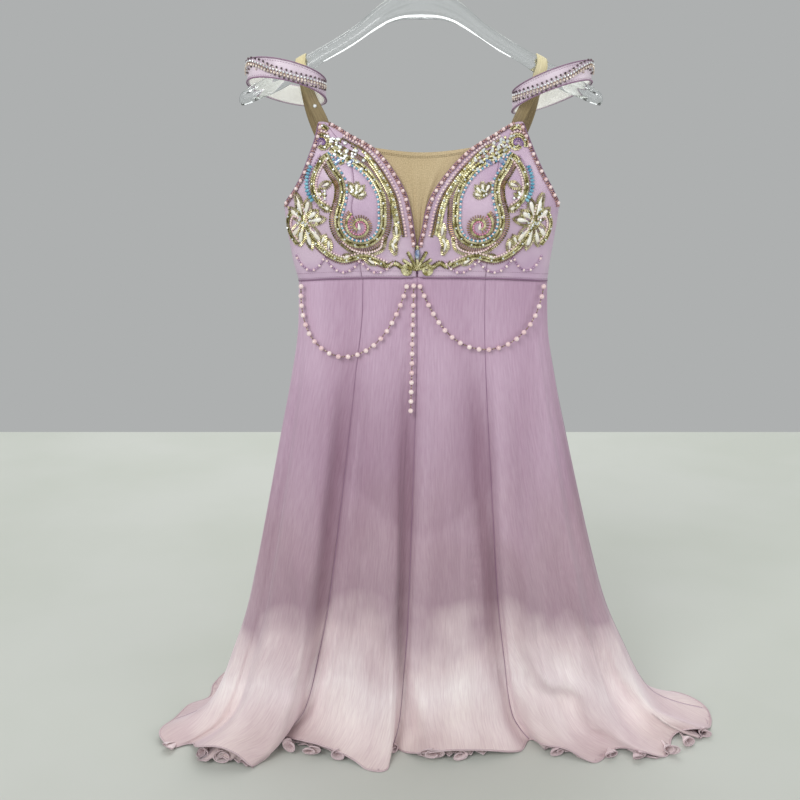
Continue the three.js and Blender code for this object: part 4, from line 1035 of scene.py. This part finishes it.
def addHanger():
    # oval section with a shallow channel moulded along both faces
    xs = 199.0 * np.sin(np.linspace(-np.pi / 2, np.pi / 2, 181))
    turn = np.arange(40) * 2 * np.pi / 40
    top, bottom, depth = (hangerAt(xs, k)[:, None] for k in (1, 2, 3))
    channel = 1 - 0.3 * np.exp(-((np.sin(turn) / 0.42) ** 2)) * ease(199, 180, np.abs(xs))[:, None]
    y = depth * np.cos(turn) * channel
    z = (top + bottom) / 2 + (top - bottom) / 2 * np.sin(turn)
    grid = np.stack([np.broadcast_to(xs[:, None], y.shape), y, z], axis=-1)
    ends = grid[[0, -1]].mean(axis=1)
    points = np.concatenate([grid.reshape(-1, 3), ends])
    faces = gridFaces(len(xs), 40)
    seamStart = np.arange(len(xs) - 1) * 40
    seam = np.stack([seamStart + 39, seamStart + 79, seamStart + 40, seamStart], axis=1)
    k = np.arange(40)
    lastRing = (len(xs) - 1) * 40
    quads = np.concatenate([faces, seam])
    triangles = np.concatenate([
        quads[:, [0, 1, 2]], quads[:, [0, 2, 3]],
        np.stack([np.full(40, len(points) - 2), k, (k + 1) % 40], 1),
        np.stack([np.full(40, len(points) - 1), lastRing + (k + 1) % 40, lastRing + k], 1),
    ])
    corner = points[triangles]
    if np.einsum("ij,ij->", corner[:, 0], np.cross(corner[:, 1], corner[:, 2])) < 0:
        triangles = triangles[:, ::-1]
    body = addPiece("acrylic_hanger", points, triangles, [finishes["clearPlastic"]])
    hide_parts("hanger_body")
    bend, radius = 21.0, 2.25
    arc = np.radians(np.linspace(-55, 200, 17))
    arcPoints = np.stack([bend * np.cos(arc), 0 * arc, radius - bend + bend * np.sin(arc)], axis=-1)
    foot = hangerRows[0, 1] + 0.3
    neck = np.array([(0, 0, foot), (0, 0, mix(foot, -52, 0.6)), (0, 0, -52), (5, 0, -43.5)])
    line = np.concatenate([neck, arcPoints])
    path = throughPoints(line, np.linspace(0, len(line) - 1 - 1e-6, 120))
    rodWork = newWork()
    addTubeTo(rodWork, "steel", path, radius, 20)
    finishWork("steel_hook", rodWork, ["hanger_hook"])
    print("hanger made")


addHanger()

strapCut = {"width": 12.5, "crestX": 130.5, "clear": 0.75, "elastic": 1.4}


def strapPath(hand):
    side = -1 if hand == "left" else 1
    crestX = side * strapCut["crestX"]
    slope = hangerAt(crestX + side * 6, 1) - hangerAt(crestX - side * 6, 1)
    widthWay = unit(np.array([12.0, 0.0, side * float(slope)]))
    top, bottom, depth = (float(hangerAt(crestX, k)) for k in (1, 2, 3))
    out = strapCut["clear"] + strapCut["elastic"]
    turn = np.radians(np.linspace(-80, 80, 9))
    over = np.stack([
        np.full(9, crestX), (depth + out) * np.sin(turn), (top + bottom) / 2 + ((top - bottom) / 2 + out) * np.cos(turn),
    ], axis=-1)
    apexX = -109.0 if side < 0 else 107.5
    backX, backZ = side * 77.0, -343.0
    behind = float(backY(np.array(backX + side * strapCut["width"] / 2), np.array(backZ))) - 2.2
    front = np.array([
        (apexX - side * 6, -8.5, -247), (apexX - side * 1.5, -9.5, -231), (apexX + side * 12, -10, -203),
    ])
    back = np.array([
        (mix(crestX, backX, 0.18), 11, -222), (mix(crestX, backX, 0.65), 20, -283),
        (mix(crestX, backX, 0.93), behind, -330), (backX, behind - 0.6, -349),
    ])
    return np.concatenate([front, over, back]), widthWay


def addStraps():
    for hand in ("left", "right"):
        line, widthWay = strapPath(hand)
        path = throughPoints(line, np.linspace(0, len(line) - 1 - 1e-6, 150))
        across = np.linspace(-0.5, 0.5, 9)[:, None, None] * strapCut["width"] * widthWay
        grid = path[None] + across
        out = gridNormals(grid)
        start = out[4, 3]
        if start[1] > 0:
            out = -out
        crown = 0.25 * np.cos(np.linspace(-1, 1, 9) * np.pi / 2)[:, None, None]
        addCloth(
            "elastic_strap_" + hand, grid + out * crown, out, 1.2, finishes["elastic"],
            node="strap_" + hand,
        )
        if hand == "left":
            # one clear stone sewn to the strap a little above the bodice
            spot, up, along = grid[4, 16] + 0.3 * out[4, 16], out[4, 16], path[17] - path[16]
            stone = newWork()
            placeBeads(stone, "stone", "crystal", spot[None], along[None], up[None], 4.2)
            finishWork("strap_stone", stone)
    print("straps sewn")


addStraps()

armbandCut = {"height": 21.0, "halfWidth": 43.0, "halfDepth": 28.0}
armbands = {
    "left": {"middleX": -147.0, "side": -1, "z": -189.0, "rise": 8.5, "fall": 10.5},
    "right": {"middleX": 143.5, "side": 1, "z": -194.5, "rise": 14.5, "fall": 8.0},
}


def armbandPoint(band, u, v, inset=0.0, heightInset=0.0):
    # leaning ring: out = cos, back = sin; the band is upright cloth on it
    turn = u * 2 * np.pi
    out, back = np.cos(turn), np.sin(turn)
    x = band["middleX"] + band["side"] * (armbandCut["halfWidth"] - inset) * out
    y = (armbandCut["halfDepth"] - inset) * back
    z = band["z"] + band["rise"] * out - band["fall"] * back + (v - 0.5) * (armbandCut["height"] - 2 * heightInset)
    return np.stack([x, y, z], axis=-1)


def addArmbands():
    u, v = np.meshgrid(np.arange(120) / 120, np.linspace(0, 1, 16), indexing="ij")
    for hand, band in armbands.items():
        middle = np.array([band["middleX"], 0, band["z"]])
        outer = armbandPoint(band, u, v)
        away = unit((outer - middle) * np.array([1, 1, 0]))
        pinch = 0.6 * np.sin(np.pi * v) * (np.sin(14 * np.pi * u) + 0.5 * np.sin(34 * np.pi * u + 1))
        # the armbands wear the painted lighter copy of the bodice satin
        addCloth(
            "satin_armband_" + hand, outer + away * (pinch - 0.5)[..., None], away, 1.2, finishes["paleSatin"],
            node="armband_" + hand, ring=True,
        )
        inner = armbandPoint(band, u, v, 2.4, 1.0)
        addCloth(
            "lining_armband_" + hand, inner, away, 0.7, finishes["lining"],
            node="armband_lining_" + hand, ring=True,
        )
        trim = newWork()
        for level, finish, radius in ((0.02, "piping", 0.8), (0.98, "piping", 0.6)):
            path = armbandPoint(band, np.linspace(0, 1, 90), np.full(90, level), -0.3)
            addTubeTo(trim, finish, path, radius, 6)
        for level in (0.12, 0.86):
            path = armbandPoint(band, np.linspace(0, 1, 80), np.full(80, level), -0.1)
            place, way = evenly(path[::4], 2.9)
            placeBeads(trim, "dash", "thread", place, way, unit((place - middle) * [1, 1, 0]), (2.1, 0.4, 0.4))
        share = np.linspace(0, 1, 40)
        sway = readTable([0, 0.12, 0.25, 0.42, 0.6, 0.8, 1], [0.5, 0.8, 0.68, 0.36, 0.28, 0.42, 0.64], share)
        for aside, start, shape, finish, size in (
            (-0.07, 0.0, "stone", "champagne", (3.2, 3.2, 4.0)), (0.08, 0.02, "stone", "crystal", (2.8, 2.8, 3.6)),
            (0.0, 0.0, "seed", "bronze", 2.0), (-0.21, 0.1, "seed", "smoke", 2.6), (0.22, 0.05, "seed", "smoke", 2.6),
            (-0.15, 0.25, "seed", "champagne", 2.0),
        ):
            path = armbandPoint(band, mix(1.0 - start * 0.5, 0.52, share), sway + aside, -0.8)
            place, way = evenly(path[::3], 5.3 if finish == "smoke" else 3.7)
            up = unit((place - middle) * [1, 1, 0])
            placeBeads(trim, shape, finish, place, way, up, size)
        finishWork("armband_trim_" + hand, trim)
    print("armbands made")


addArmbands()


def onBodice(place, way, height, hand=None):
    # the layout is drawn for the right half; the left half is its mirror image, 4 mm wider out
    side = -1 if hand == "left" else 1
    shift = 4.0 if hand == "left" else 0.0
    x = side * (place[:, 0] + shift) if hand else place[:, 0]
    z = place[:, 1]
    spots, up = onFront(x, z, height)
    across = (side if hand else 1) * way[:, 0]
    ahead = onFront(x + 0.5 * across, z + 0.5 * way[:, 1], height)[0]
    key = hand or "right"
    inner = readTable(neckLine["z"], neckLine[key], z) if hand else np.full(len(z), -999.0)
    outer = readTable(sideLine["z"], sideLine[key], z) if hand else np.full(len(z), 999.0)
    inside = (side * x > side * inner + 2.2) & (side * x < side * outer - 2.6) if hand else np.full(len(z), True)
    inside &= z > waist["z"] + 2
    return spots[inside], unit(ahead - spots)[inside], up[inside]


def beadRow(work, shape, finish, line, step, size, offset=0.0, height=0.4, hand=None, closed=False, every=1, start=0):
    place, way = evenly(line, step, closed)
    place = place + offset * np.stack([-way[:, 1], way[:, 0]], axis=-1)
    place, way = place[start::every], way[start::every]
    spots, along, up = onBodice(place, way, height, hand)
    if len(spots):
        placeBeads(work, shape, finish, spots, along, up, size)


def dropLine(spine, halves, turn=0.0):
    # outline of a drop: both sides of a bent spine, joined round its full end
    spine = np.asarray(spine, float)
    at = np.linspace(0, len(spine) - 1 - 1e-6, 9)
    line = throughPoints(spine, at)
    way = unit(np.gradient(throughPoints(spine, np.linspace(0, len(spine) - 1 - 1e-6, 90)), axis=0))[np.linspace(0, 89, 9).astype(int)]
    half = readTable(np.arange(len(halves)), halves, at)[:, None]
    across = np.stack([-way[:, 1], way[:, 0]], axis=-1)
    start = np.arctan2(way[0, 0], -way[0, 1])
    angle = start + np.linspace(0, np.pi, 9)[1:-1]
    cap = line[0] + halves[0] * np.stack([np.cos(angle), np.sin(angle)], axis=-1)
    return np.concatenate([(line + across * half)[::-1], cap, line - across * half])


def spiral(centre, outer, inner, begin, turns, count=26):
    # radius shrinks evenly from outer to inner while the angle goes round
    share = np.linspace(0, 1, count)
    angle = np.radians(begin) + 2 * np.pi * turns * share
    radius = mix(outer, inner, share**0.9)
    return np.array(centre) + radius[:, None] * np.stack([np.cos(angle), np.sin(angle)], axis=-1)


def leafLine(root, angle, length, half):
    # closed loop of a leaf: half * sin(pi * s)^0.8 on both sides of a straight rib
    s = np.linspace(0, 1, 9)
    width = half * np.sin(np.pi * s) ** 0.8
    rib = np.array(root) + length * s[:, None] * np.array([np.cos(angle), np.sin(angle)])
    across = np.array([-np.sin(angle), np.cos(angle)])
    return np.concatenate([rib + width[:, None] * across, (rib - width[:, None] * across)[::-1][1:-1]])


def addLeaf(work, root, degrees, length, half, hand, heart="drop", edge="gold"):
    angle = np.radians(degrees)
    loop = leafLine(root, angle, length, half)
    beadRow(work, "bugle", edge, loop, 1.9, (1.4, 2.8, 1.5), height=1.2, hand=hand, closed=True)
    way = np.array([[np.cos(angle), np.sin(angle)]])
    middle = np.array([root]) + way * length * 0.55
    spots, along, up = onBodice(middle, way, 1.3, hand)
    if len(spots) and heart:
        placeBeads(work, "drop", "whitePearl", spots, along, up, (length * 0.62, half * 1.3, half * 0.9))


def goldBand(work, line, width, hand, closed=False):
    # two staggered rows of sequins with a row of cut beads between them
    beadRow(work, "sequin", "gold", line, 2.5, (3.4, 3.4, 4.0), width * 0.3, 0.6, hand, closed)
    beadRow(work, "sequin", "gold", line, 2.5, (3.4, 3.4, 4.0), -width * 0.3, 0.8, hand, closed)
    beadRow(work, "seed", "darkGold", line, 2.2, (2.0, 2.0, 1.8), 0.0, 1.7, hand, closed)
    beadRow(work, "stone", "crystal", line, 13.0, (2.6, 2.6, 3.0), 0.0, 1.8, hand, closed)


def sparkle(work, centre, spread, count, hand):
    # loose cluster of stones and sequins round a point
    angle = chance.uniform(0, 2 * np.pi, count)
    radius = spread * np.sqrt(chance.uniform(0, 1, count))
    place = np.array(centre) + radius[:, None] * np.stack([np.cos(angle), np.sin(angle)], axis=-1)
    way = np.stack([np.cos(3 * angle), np.sin(3 * angle)], axis=-1)
    third = count // 3
    for part, shape, finish, size in (
        (slice(0, third), "stone", "crystal", (3.2, 3.2, 4.0)), (slice(third, 2 * third), "sequin", "gold", (3.2, 3.2, 4.0)),
        (slice(2 * third, count), "seed", "darkGold", 2.0),
    ):
        spots, along, up = onBodice(place[part], way[part], 0.9, hand)
        if len(spots):
            placeBeads(work, shape, finish, spots, along, up, size)


paisley = {
    "spine": [(62, -336), (60, -312), (68, -290), (84, -275), (97, -262)], "halves": [25, 22, 15, 9, 4],
    "scroll": {"centre": (63, -340), "outer": 15.5, "inner": 4.0, "begin": 60, "turns": -1.35},
}
vine = [(34, -384), (58, -374), (84, -378), (108, -364), (124, -338), (130, -318)]


def addPaisley(hand):
    work = newWork()
    outline = dropLine(paisley["spine"], paisley["halves"])
    goldBand(work, outline, 6.0, hand)
    beadRow(work, "bugle", "bronze", outline, 1.9, (1.2, 3.8, 1.3), -5.6, 0.6, hand)
    beadRow(work, "seed", "darkGold", outline, 2.0, 2.1, -8.2, 0.7, hand)
    beadRow(work, "ball", "turquoise", outline, 2.9, 2.9, 5.0, 1.3, hand, every=2)
    beadRow(work, "ball", "pinkPearl", outline, 2.9, 2.9, 5.0, 1.3, hand, every=2, start=1)
    scroll = spiral(**{key: paisley["scroll"][key] for key in ("centre", "outer", "inner", "begin", "turns")})
    beadRow(work, "sequin", "gold", scroll, 2.3, (3.2, 3.2, 4.0), 0.0, 0.8, hand)
    beadRow(work, "bugle", "bronze", scroll, 1.9, (1.2, 3.2, 1.2), 3.0, 0.6, hand)
    beadRow(work, "ball", "pinkSeed", scroll, 3.6, 2.4, -2.6, 1.2, hand)
    centre = np.array([paisley["scroll"]["centre"]], float)
    spots, along, up = onBodice(centre, np.array([[0.1, 1.0]]), 1.4, hand)
    placeBeads(work, "drop", "whitePearl", spots, -along, up, (9.0, 4.4, 3.6))
    for degrees, length in ((62, 16), (95, 15), (128, 14), (165, 11)):
        addLeaf(work, (66, -309), degrees, length, 3.3, hand)
    foot = [(34, -352), (38, -366), (52, -372), (70, -370), (84, -360)]
    beadRow(work, "bugle", "gold", foot, 1.9, (1.4, 3.4, 1.5), 0.0, 0.7, hand)
    beadRow(work, "ball", "pinkPearl", foot, 3.1, 2.7, 3.4, 1.2, hand)
    for root, degrees, length in (((24, -372), 75, 17), ((30, -366), 118, 17), ((22, -356), 84, 19)):
        addLeaf(work, root, degrees, length, 3.2, hand)
    sparkle(work, (67, -305), 4.0, 12, hand)
    finishWork("beads_paisley_" + hand, work, ["beading_paisley_" + hand])


def addVine(hand):
    work = newWork()
    goldBand(work, vine, 4.4, hand)
    beadRow(work, "ball", "pinkPearl", vine, 3.4, 2.6, 4.2, 1.2, hand)
    beadRow(work, "seed", "brown", vine, 2.1, 2.0, -4.0, 0.8, hand)
    for root, degrees, length in (
        ((58, -375), -150, 15), ((84, -378), 150, 12), ((98, -371), 95, 17), ((108, -364), 120, 16),
    ):
        addLeaf(work, root, degrees, length, 3.4, hand)
    for degrees, length in ((-132, 31), (-104, 31), (-76, 28), (-48, 25), (170, 25), (142, 21), (104, 27), (74, 27), (40, 23)):
        addLeaf(work, (124, -337), degrees, length, 4.9, hand)
        petal = (124 + 0.55 * length * np.cos(np.radians(degrees)), -337 + 0.55 * length * np.sin(np.radians(degrees)))
        sparkle(work, petal, 2.6, 6, hand)
    sparkle(work, (124, -337), 7.5, 33, hand)
    curl = [(125, -330), (138, -327), (144, -338), (141, -352), (134, -362)]
    goldBand(work, curl, 4.0, hand)
    beadRow(work, "ball", "pinkPearl", curl, 3.2, 2.8, -4.4, 1.2, hand)
    for low, high, start, hang in ((26, 62, -379, 13), (62, 102, -376, 16), (102, 136, -374, 17)):
        share = np.linspace(0, 1, 9)
        line = np.stack([mix(low, high, share), start - hang * np.sin(np.pi * share) ** 0.8], axis=-1)
        beadRow(work, "ball", "mauvePearl", line, 2.7, 2.6, 0.0, 1.0, hand)
        beadRow(work, "ball", "pinkPearl", line, 8.1, 3.2, 0.0, 1.2, hand)
    finishWork("beads_vine_" + hand, work, ["beading_vine_" + hand])


def edgeLine(hand, table, inset, low, high):
    # a line parallel to the neckline or the armhole, moved into the cloth
    side = -1 if hand == "left" else 1
    z = np.linspace(low, high, 26)
    return np.stack([readTable(table["z"], table[hand], z) + side * inset, z], axis=-1)


def addTip(work, hand):
    # the point under the strap: a short gold bar over rows of seeds
    for level, half in ((-241.0, 7.0), (-245.0, 8.5), (-249.0, 6.0)):
        row = [(104 - half, level), (104, level + 1.5), (104 + half, level - 1)]
        beadRow(work, "seed", "bronze" if level < -244 else "brown", row, 2.1, 2.1, 0.0, 0.8, hand)
    goldBand(work, [(97, -240), (103, -236), (110, -239)], 3.6, hand)
    beadRow(work, "ball", "pinkPearl", [(96, -244.5), (104, -241.5), (112, -244)], 3.4, 2.8, 0.0, 1.4, hand)


def addUpperBeads(hand):
    # rows that follow the neckline, the small curl under the strap and its stones
    work = newWork()
    side = -1 if hand == "left" else 1
    border = edgeLine(hand, neckLine, 9.5, -352, -246)
    beadRow(work, "ball", "pinkPearl", border, 3.6, 2.9, 0.0, 1.3)
    beadRow(work, "bugle", "darkGold", border, 1.9, (1.3, 2.6, 1.3), -side * 3.0, 0.6)
    beadRow(work, "sequin", "gold", edgeLine(hand, neckLine, 16.0, -350, -262), 2.4, (3.5, 3.5, 4.0), 0.0, 0.7)
    beadRow(work, "seed", "bronze", edgeLine(hand, neckLine, 13.2, -350, -256), 2.0, 2.0, 0.0, 0.7)
    beadRow(work, "sequin", "gold", edgeLine(hand, neckLine, 19.2, -352, -268), 2.4, (3.5, 3.5, 4.0), 0.0, 0.5)
    beadRow(work, "stone", "crystal", edgeLine(hand, neckLine, 16.0, -340, -262), 8.0, (3.0, 3.0, 3.6), 0.0, 1.6)
    curl = spiral((103, -254), 11.0, 4.0, -20, 0.95, 16)
    goldBand(work, curl, 4.0, hand)
    beadRow(work, "ball", "purpleSeed", curl, 4.0, 2.4, 3.8, 1.1, hand)
    beadRow(work, "seed", "mauvePearl", curl, 5.2, 2.2, 5.6, 1.0, hand)
    sweep = [(101, -268), (110, -282), (114, -298), (110, -312), (98, -322)]
    goldBand(work, sweep, 4.2, hand)
    blueLine = [(115, -277), (119.5, -290), (119.5, -303), (113.5, -315)]
    beadRow(work, "ball", "turquoise", blueLine, 3.7, (3.5, 5.6, 3.2), 0.0, 1.5, hand)
    addTip(work, hand)
    beadRow(work, "ball", "pinkPearl", sweep, 3.2, 2.7, -4.4, 1.2, hand)
    for root, degrees, length in (((106, -300), 160, 14), ((106, -318), 205, 14), ((133, -306), 250, 17), ((112, -300), 240, 13)):
        addLeaf(work, root, degrees, length, 3.6, hand)
    beadRow(work, "ball", "mauvePearl", sweep, 3.0, 2.3, 4.4, 0.9, hand)
    sparkle(work, (104, -308), 6.0, 18, hand)
    stones = np.array([
        (76, -262), (70, -268), (83, -258), (64, -274), (89, -266), (79, -270), (60, -281), (93, -252), (86, -250),
        (78, -254), (97, -247), (66, -262), (58, -272),
    ], float)
    ways = np.tile([[0.8, -0.6]], (len(stones), 1))
    spots, along, up = onBodice(stones, ways, 0.7, hand)
    placeBeads(work, "stone", "crystal", spots, along, up, (4.4, 4.4, 5.0))
    spots, along, up = onBodice(np.array([(72, -274.0), (86, -273.0)]), ways[:2], 0.8, hand)
    placeBeads(work, "stone", "blueCrystal", spots, along, up, (10.0, 5.0, 7.0))
    sparkle(work, (74, -268), 12.0, 42, hand)
    sparkle(work, (89, -255), 8.0, 33, hand)
    finishWork("beads_upper_" + hand, work)


def addEdging(hand):
    # pearls of 4 mm along the cut edges with small brown seeds between them, and a piped edge beneath
    for part, table, inset, low, high in (("neck", neckLine, 2.6, -364, -233), ("arm", sideLine, -3.4, -322, -233)):
        work = newWork()
        line = edgeLine(hand, table, inset, low, high)
        beadRow(work, "ball", "pinkPearl", line, 9.6, 4.2, 0.0, 2.1)
        for aside, finish, step, size, lift in (
            (-1.3, "brown", 2.7, 2.1, 0.9), (1.3, "roseSeed", 2.9, 2.1, 0.9), (0.0, "roseSeed", 3.2, 2.3, 1.6),
        ):
            beadRow(work, "seed", finish, line, step, size, aside, lift)
        rim = edgeLine(hand, table, 0.4 * np.sign(inset), low, high)
        spots = onFront(rim[:, 0], rim[:, 1], 0.0)[0]
        addTubeTo(work, "piping", spots, 1.0, 6)
        finishWork(f"edging_{part}_{hand}_pearls", work, [f"edging_{part}_{hand}"])


def addCentre():
    # upright palm of gold sequins over the foot of the V, with a blue stone and two small rosettes
    work = newWork()
    for degrees, length in ((90, 26), (62, 22), (118, 22), (35, 19), (145, 19), (10, 16), (170, 16)):
        angle = np.radians(degrees)
        rib = np.array([(-4, -388)]) + np.linspace(0, 1, 5)[:, None] * length * np.array([np.cos(angle), np.sin(angle)])
        beadRow(work, "sequin", "gold", rib, 2.2, (3.6, 3.6, 4.5), 0.0, 1.0)
        beadRow(work, "seed", "darkGold", rib, 2.2, 2.0, 1.6, 1.2)
    for x, turn in ((-15, 1), (7, -1)):
        ring = spiral((x, -389), 6.2, 1.5, 90, 1.7 * turn, 16)
        beadRow(work, "sequin", "gold", ring, 2.0, (3.6, 3.6, 4.5), 0.0, 1.4)
        side = -turn
        branch = [(x + side * 6, -386), (x + side * 14, -381), (x + side * 22, -385), (x + side * 27, -380)]
        beadRow(work, "sequin", "gold", branch, 2.1, (3.4, 3.4, 4.5), 0.0, 1.1)
        beadRow(work, "seed", "darkGold", branch, 2.0, 2.1, 2.2, 1.0)
        beadRow(work, "seed", "darkGold", branch, 2.0, 2.1, -2.2, 1.0)
    stone = np.array([(-4.0, -371.0)])
    spots, along, up = onBodice(stone, np.array([[0.0, 1.0]]), 1.8)
    placeBeads(work, "stone", "blueCrystal", spots, along, up, (12.0, 6.0, 8.0))
    finishWork("beads_centre", work, ["beading_centre"])


def addStitching():
    # two rows of topstitching over the waist seam, a piped seam line and the princess seams
    work = newWork()
    for hand in ("left", "right"):
        w = np.linspace(0.01, 0.99, 80)
        for up in (0.012, 0.044):
            line = frontHalf(hand, w, np.full(80, up)) + [0, -0.15, 0]
            place, way = evenly(line[::4], 2.8)
            out = onFront(place[:, 0], place[:, 2], 0.0)[1]
            placeBeads(work, "dash", "thread", place, way, out, (2.1, 0.45, 0.45))
        seamLine = frontHalf(hand, w, np.full(80, 0.0)) + [0, -0.1, -0.3]
        addTubeTo(work, "piping", seamLine, 0.75, 6)
        backLine = backHalf(hand, w, np.full(80, 0.0)) + [0, 0.1, -0.3]
        addTubeTo(work, "piping", backLine, 0.75, 6)
        rise = np.linspace(0.01, 0.99, 60)
        addTubeTo(work, "piping", frontHalf(hand, np.full(60, princess[hand]), rise) + [0, 0.3, 0], 0.45, 5)
        topEdge = backHalf(hand, w, np.full(80, 1.0)) + [0, -0.2, 0]
        addTubeTo(work, "piping", topEdge, 1.0, 6)
        for level in (0.93, 0.05):
            line = backHalf(hand, w, np.full(80, level)) + [0, 0.15, 0]
            place, way = evenly(line[::4], 2.8)
            out = np.broadcast_to([0.0, 1.0, 0.0], place.shape)
            placeBeads(work, "dash", "thread", place, way, out, (2.1, 0.45, 0.45))
    finishWork("bodice_stitching", work)


for hand in ("left", "right"):
    addPaisley(hand)
    addVine(hand)
    addUpperBeads(hand)
    addEdging(hand)
addCentre()
addStitching()
print("beads sewn on")


studio = {"curtain": "#AEB0B0", "key": 31.0, "fill": 14.0, "front": 8.0, "top": 54.0, "tableBackY": 1.228}


def addStage():
    x, front, back, z = 3.0, -2.5, studio["tableBackY"], floorLevel * 0.001
    corners = np.array([(-x, front, z), (x, front, z), (x, back, z), (-x, back, z)])
    mesh = bpy.data.meshes.new("table")
    mesh.from_pydata(corners.tolist(), [], [(0, 1, 2, 3)])
    material, tree, shader = startMaterial("white_table_cloth", {"Roughness": 0.8, "Specular IOR Level": 0.2})
    place = addNode(tree, "ShaderNodeTexCoord").outputs["Object"]
    # painted shade: the cloth's colour darkens towards the front, standing in for the window light from behind falling
    # off
    ahead = addNode(tree, "ShaderNodeSeparateXYZ", {"Vector": place}).outputs["Y"]
    share = addNode(tree, "ShaderNodeMapRange", {"Value": ahead, "From Min": -0.4, "From Max": 1.2})
    paintedShadeRamp = addNode(tree, "ShaderNodeValToRGB", {"Fac": share.outputs["Result"]})
    fillRamp(paintedShadeRamp, [(0.0, "#E3E3E3"), (0.35, "#F1F1F1"), (1.0, "#FFFFFF")])
    colour = multiply(tree, noiseTint(tree, place, 3.0, "#D3D7CE", "#D9DCD5"), paintedShadeRamp.outputs["Color"])
    tree.links.new(colour, shader.inputs["Base Color"])
    mesh.materials.append(material)
    table = bpy.data.objects.new("table", mesh)
    bpy.context.scene.collection.objects.link(table)


def addLight(name, place, target, size, power, colour="#FFFFFF"):
    data = bpy.data.lights.new(name, "AREA")
    data.shape = "SQUARE"
    data.size = size
    data.energy = power
    data.color = toLinear(colour)[:3]
    lamp = bpy.data.objects.new(name, data)
    lamp.location = place
    way = np.array(target) - np.array(place)
    lamp.rotation_euler = (np.arctan2(np.hypot(way[0], way[1]), -way[2]), 0, np.arctan2(way[1], way[0]) - np.pi / 2)
    bpy.context.scene.collection.objects.link(lamp)


def addStudio():
    addStage()
    world = bpy.data.worlds.new("studio")
    world.use_nodes = True
    backdrop = next(node for node in world.node_tree.nodes if node.type == "BACKGROUND")
    backdrop.inputs["Color"].default_value = toLinear(studio["curtain"])
    backdrop.inputs["Strength"].default_value = 1.0
    bpy.context.scene.world = world
    addLight("key", (-1.3, -1.9, 1.0), (0, 0, -0.6), 1.4, studio["key"])
    addLight("fill", (2.1, -1.2, 0.2), (0, 0, -0.6), 1.6, studio["fill"])
    addLight("front", (0.0, -2.4, -0.1), (0, 0, -0.5), 1.8, studio["front"])
    addLight("top", (0.0, 1.9, 2.3), (0, 1.6, -0.9), 3.2, studio["top"])
    bpy.context.scene.view_settings.view_transform = "Standard"


addStudio()
print("studio lit")
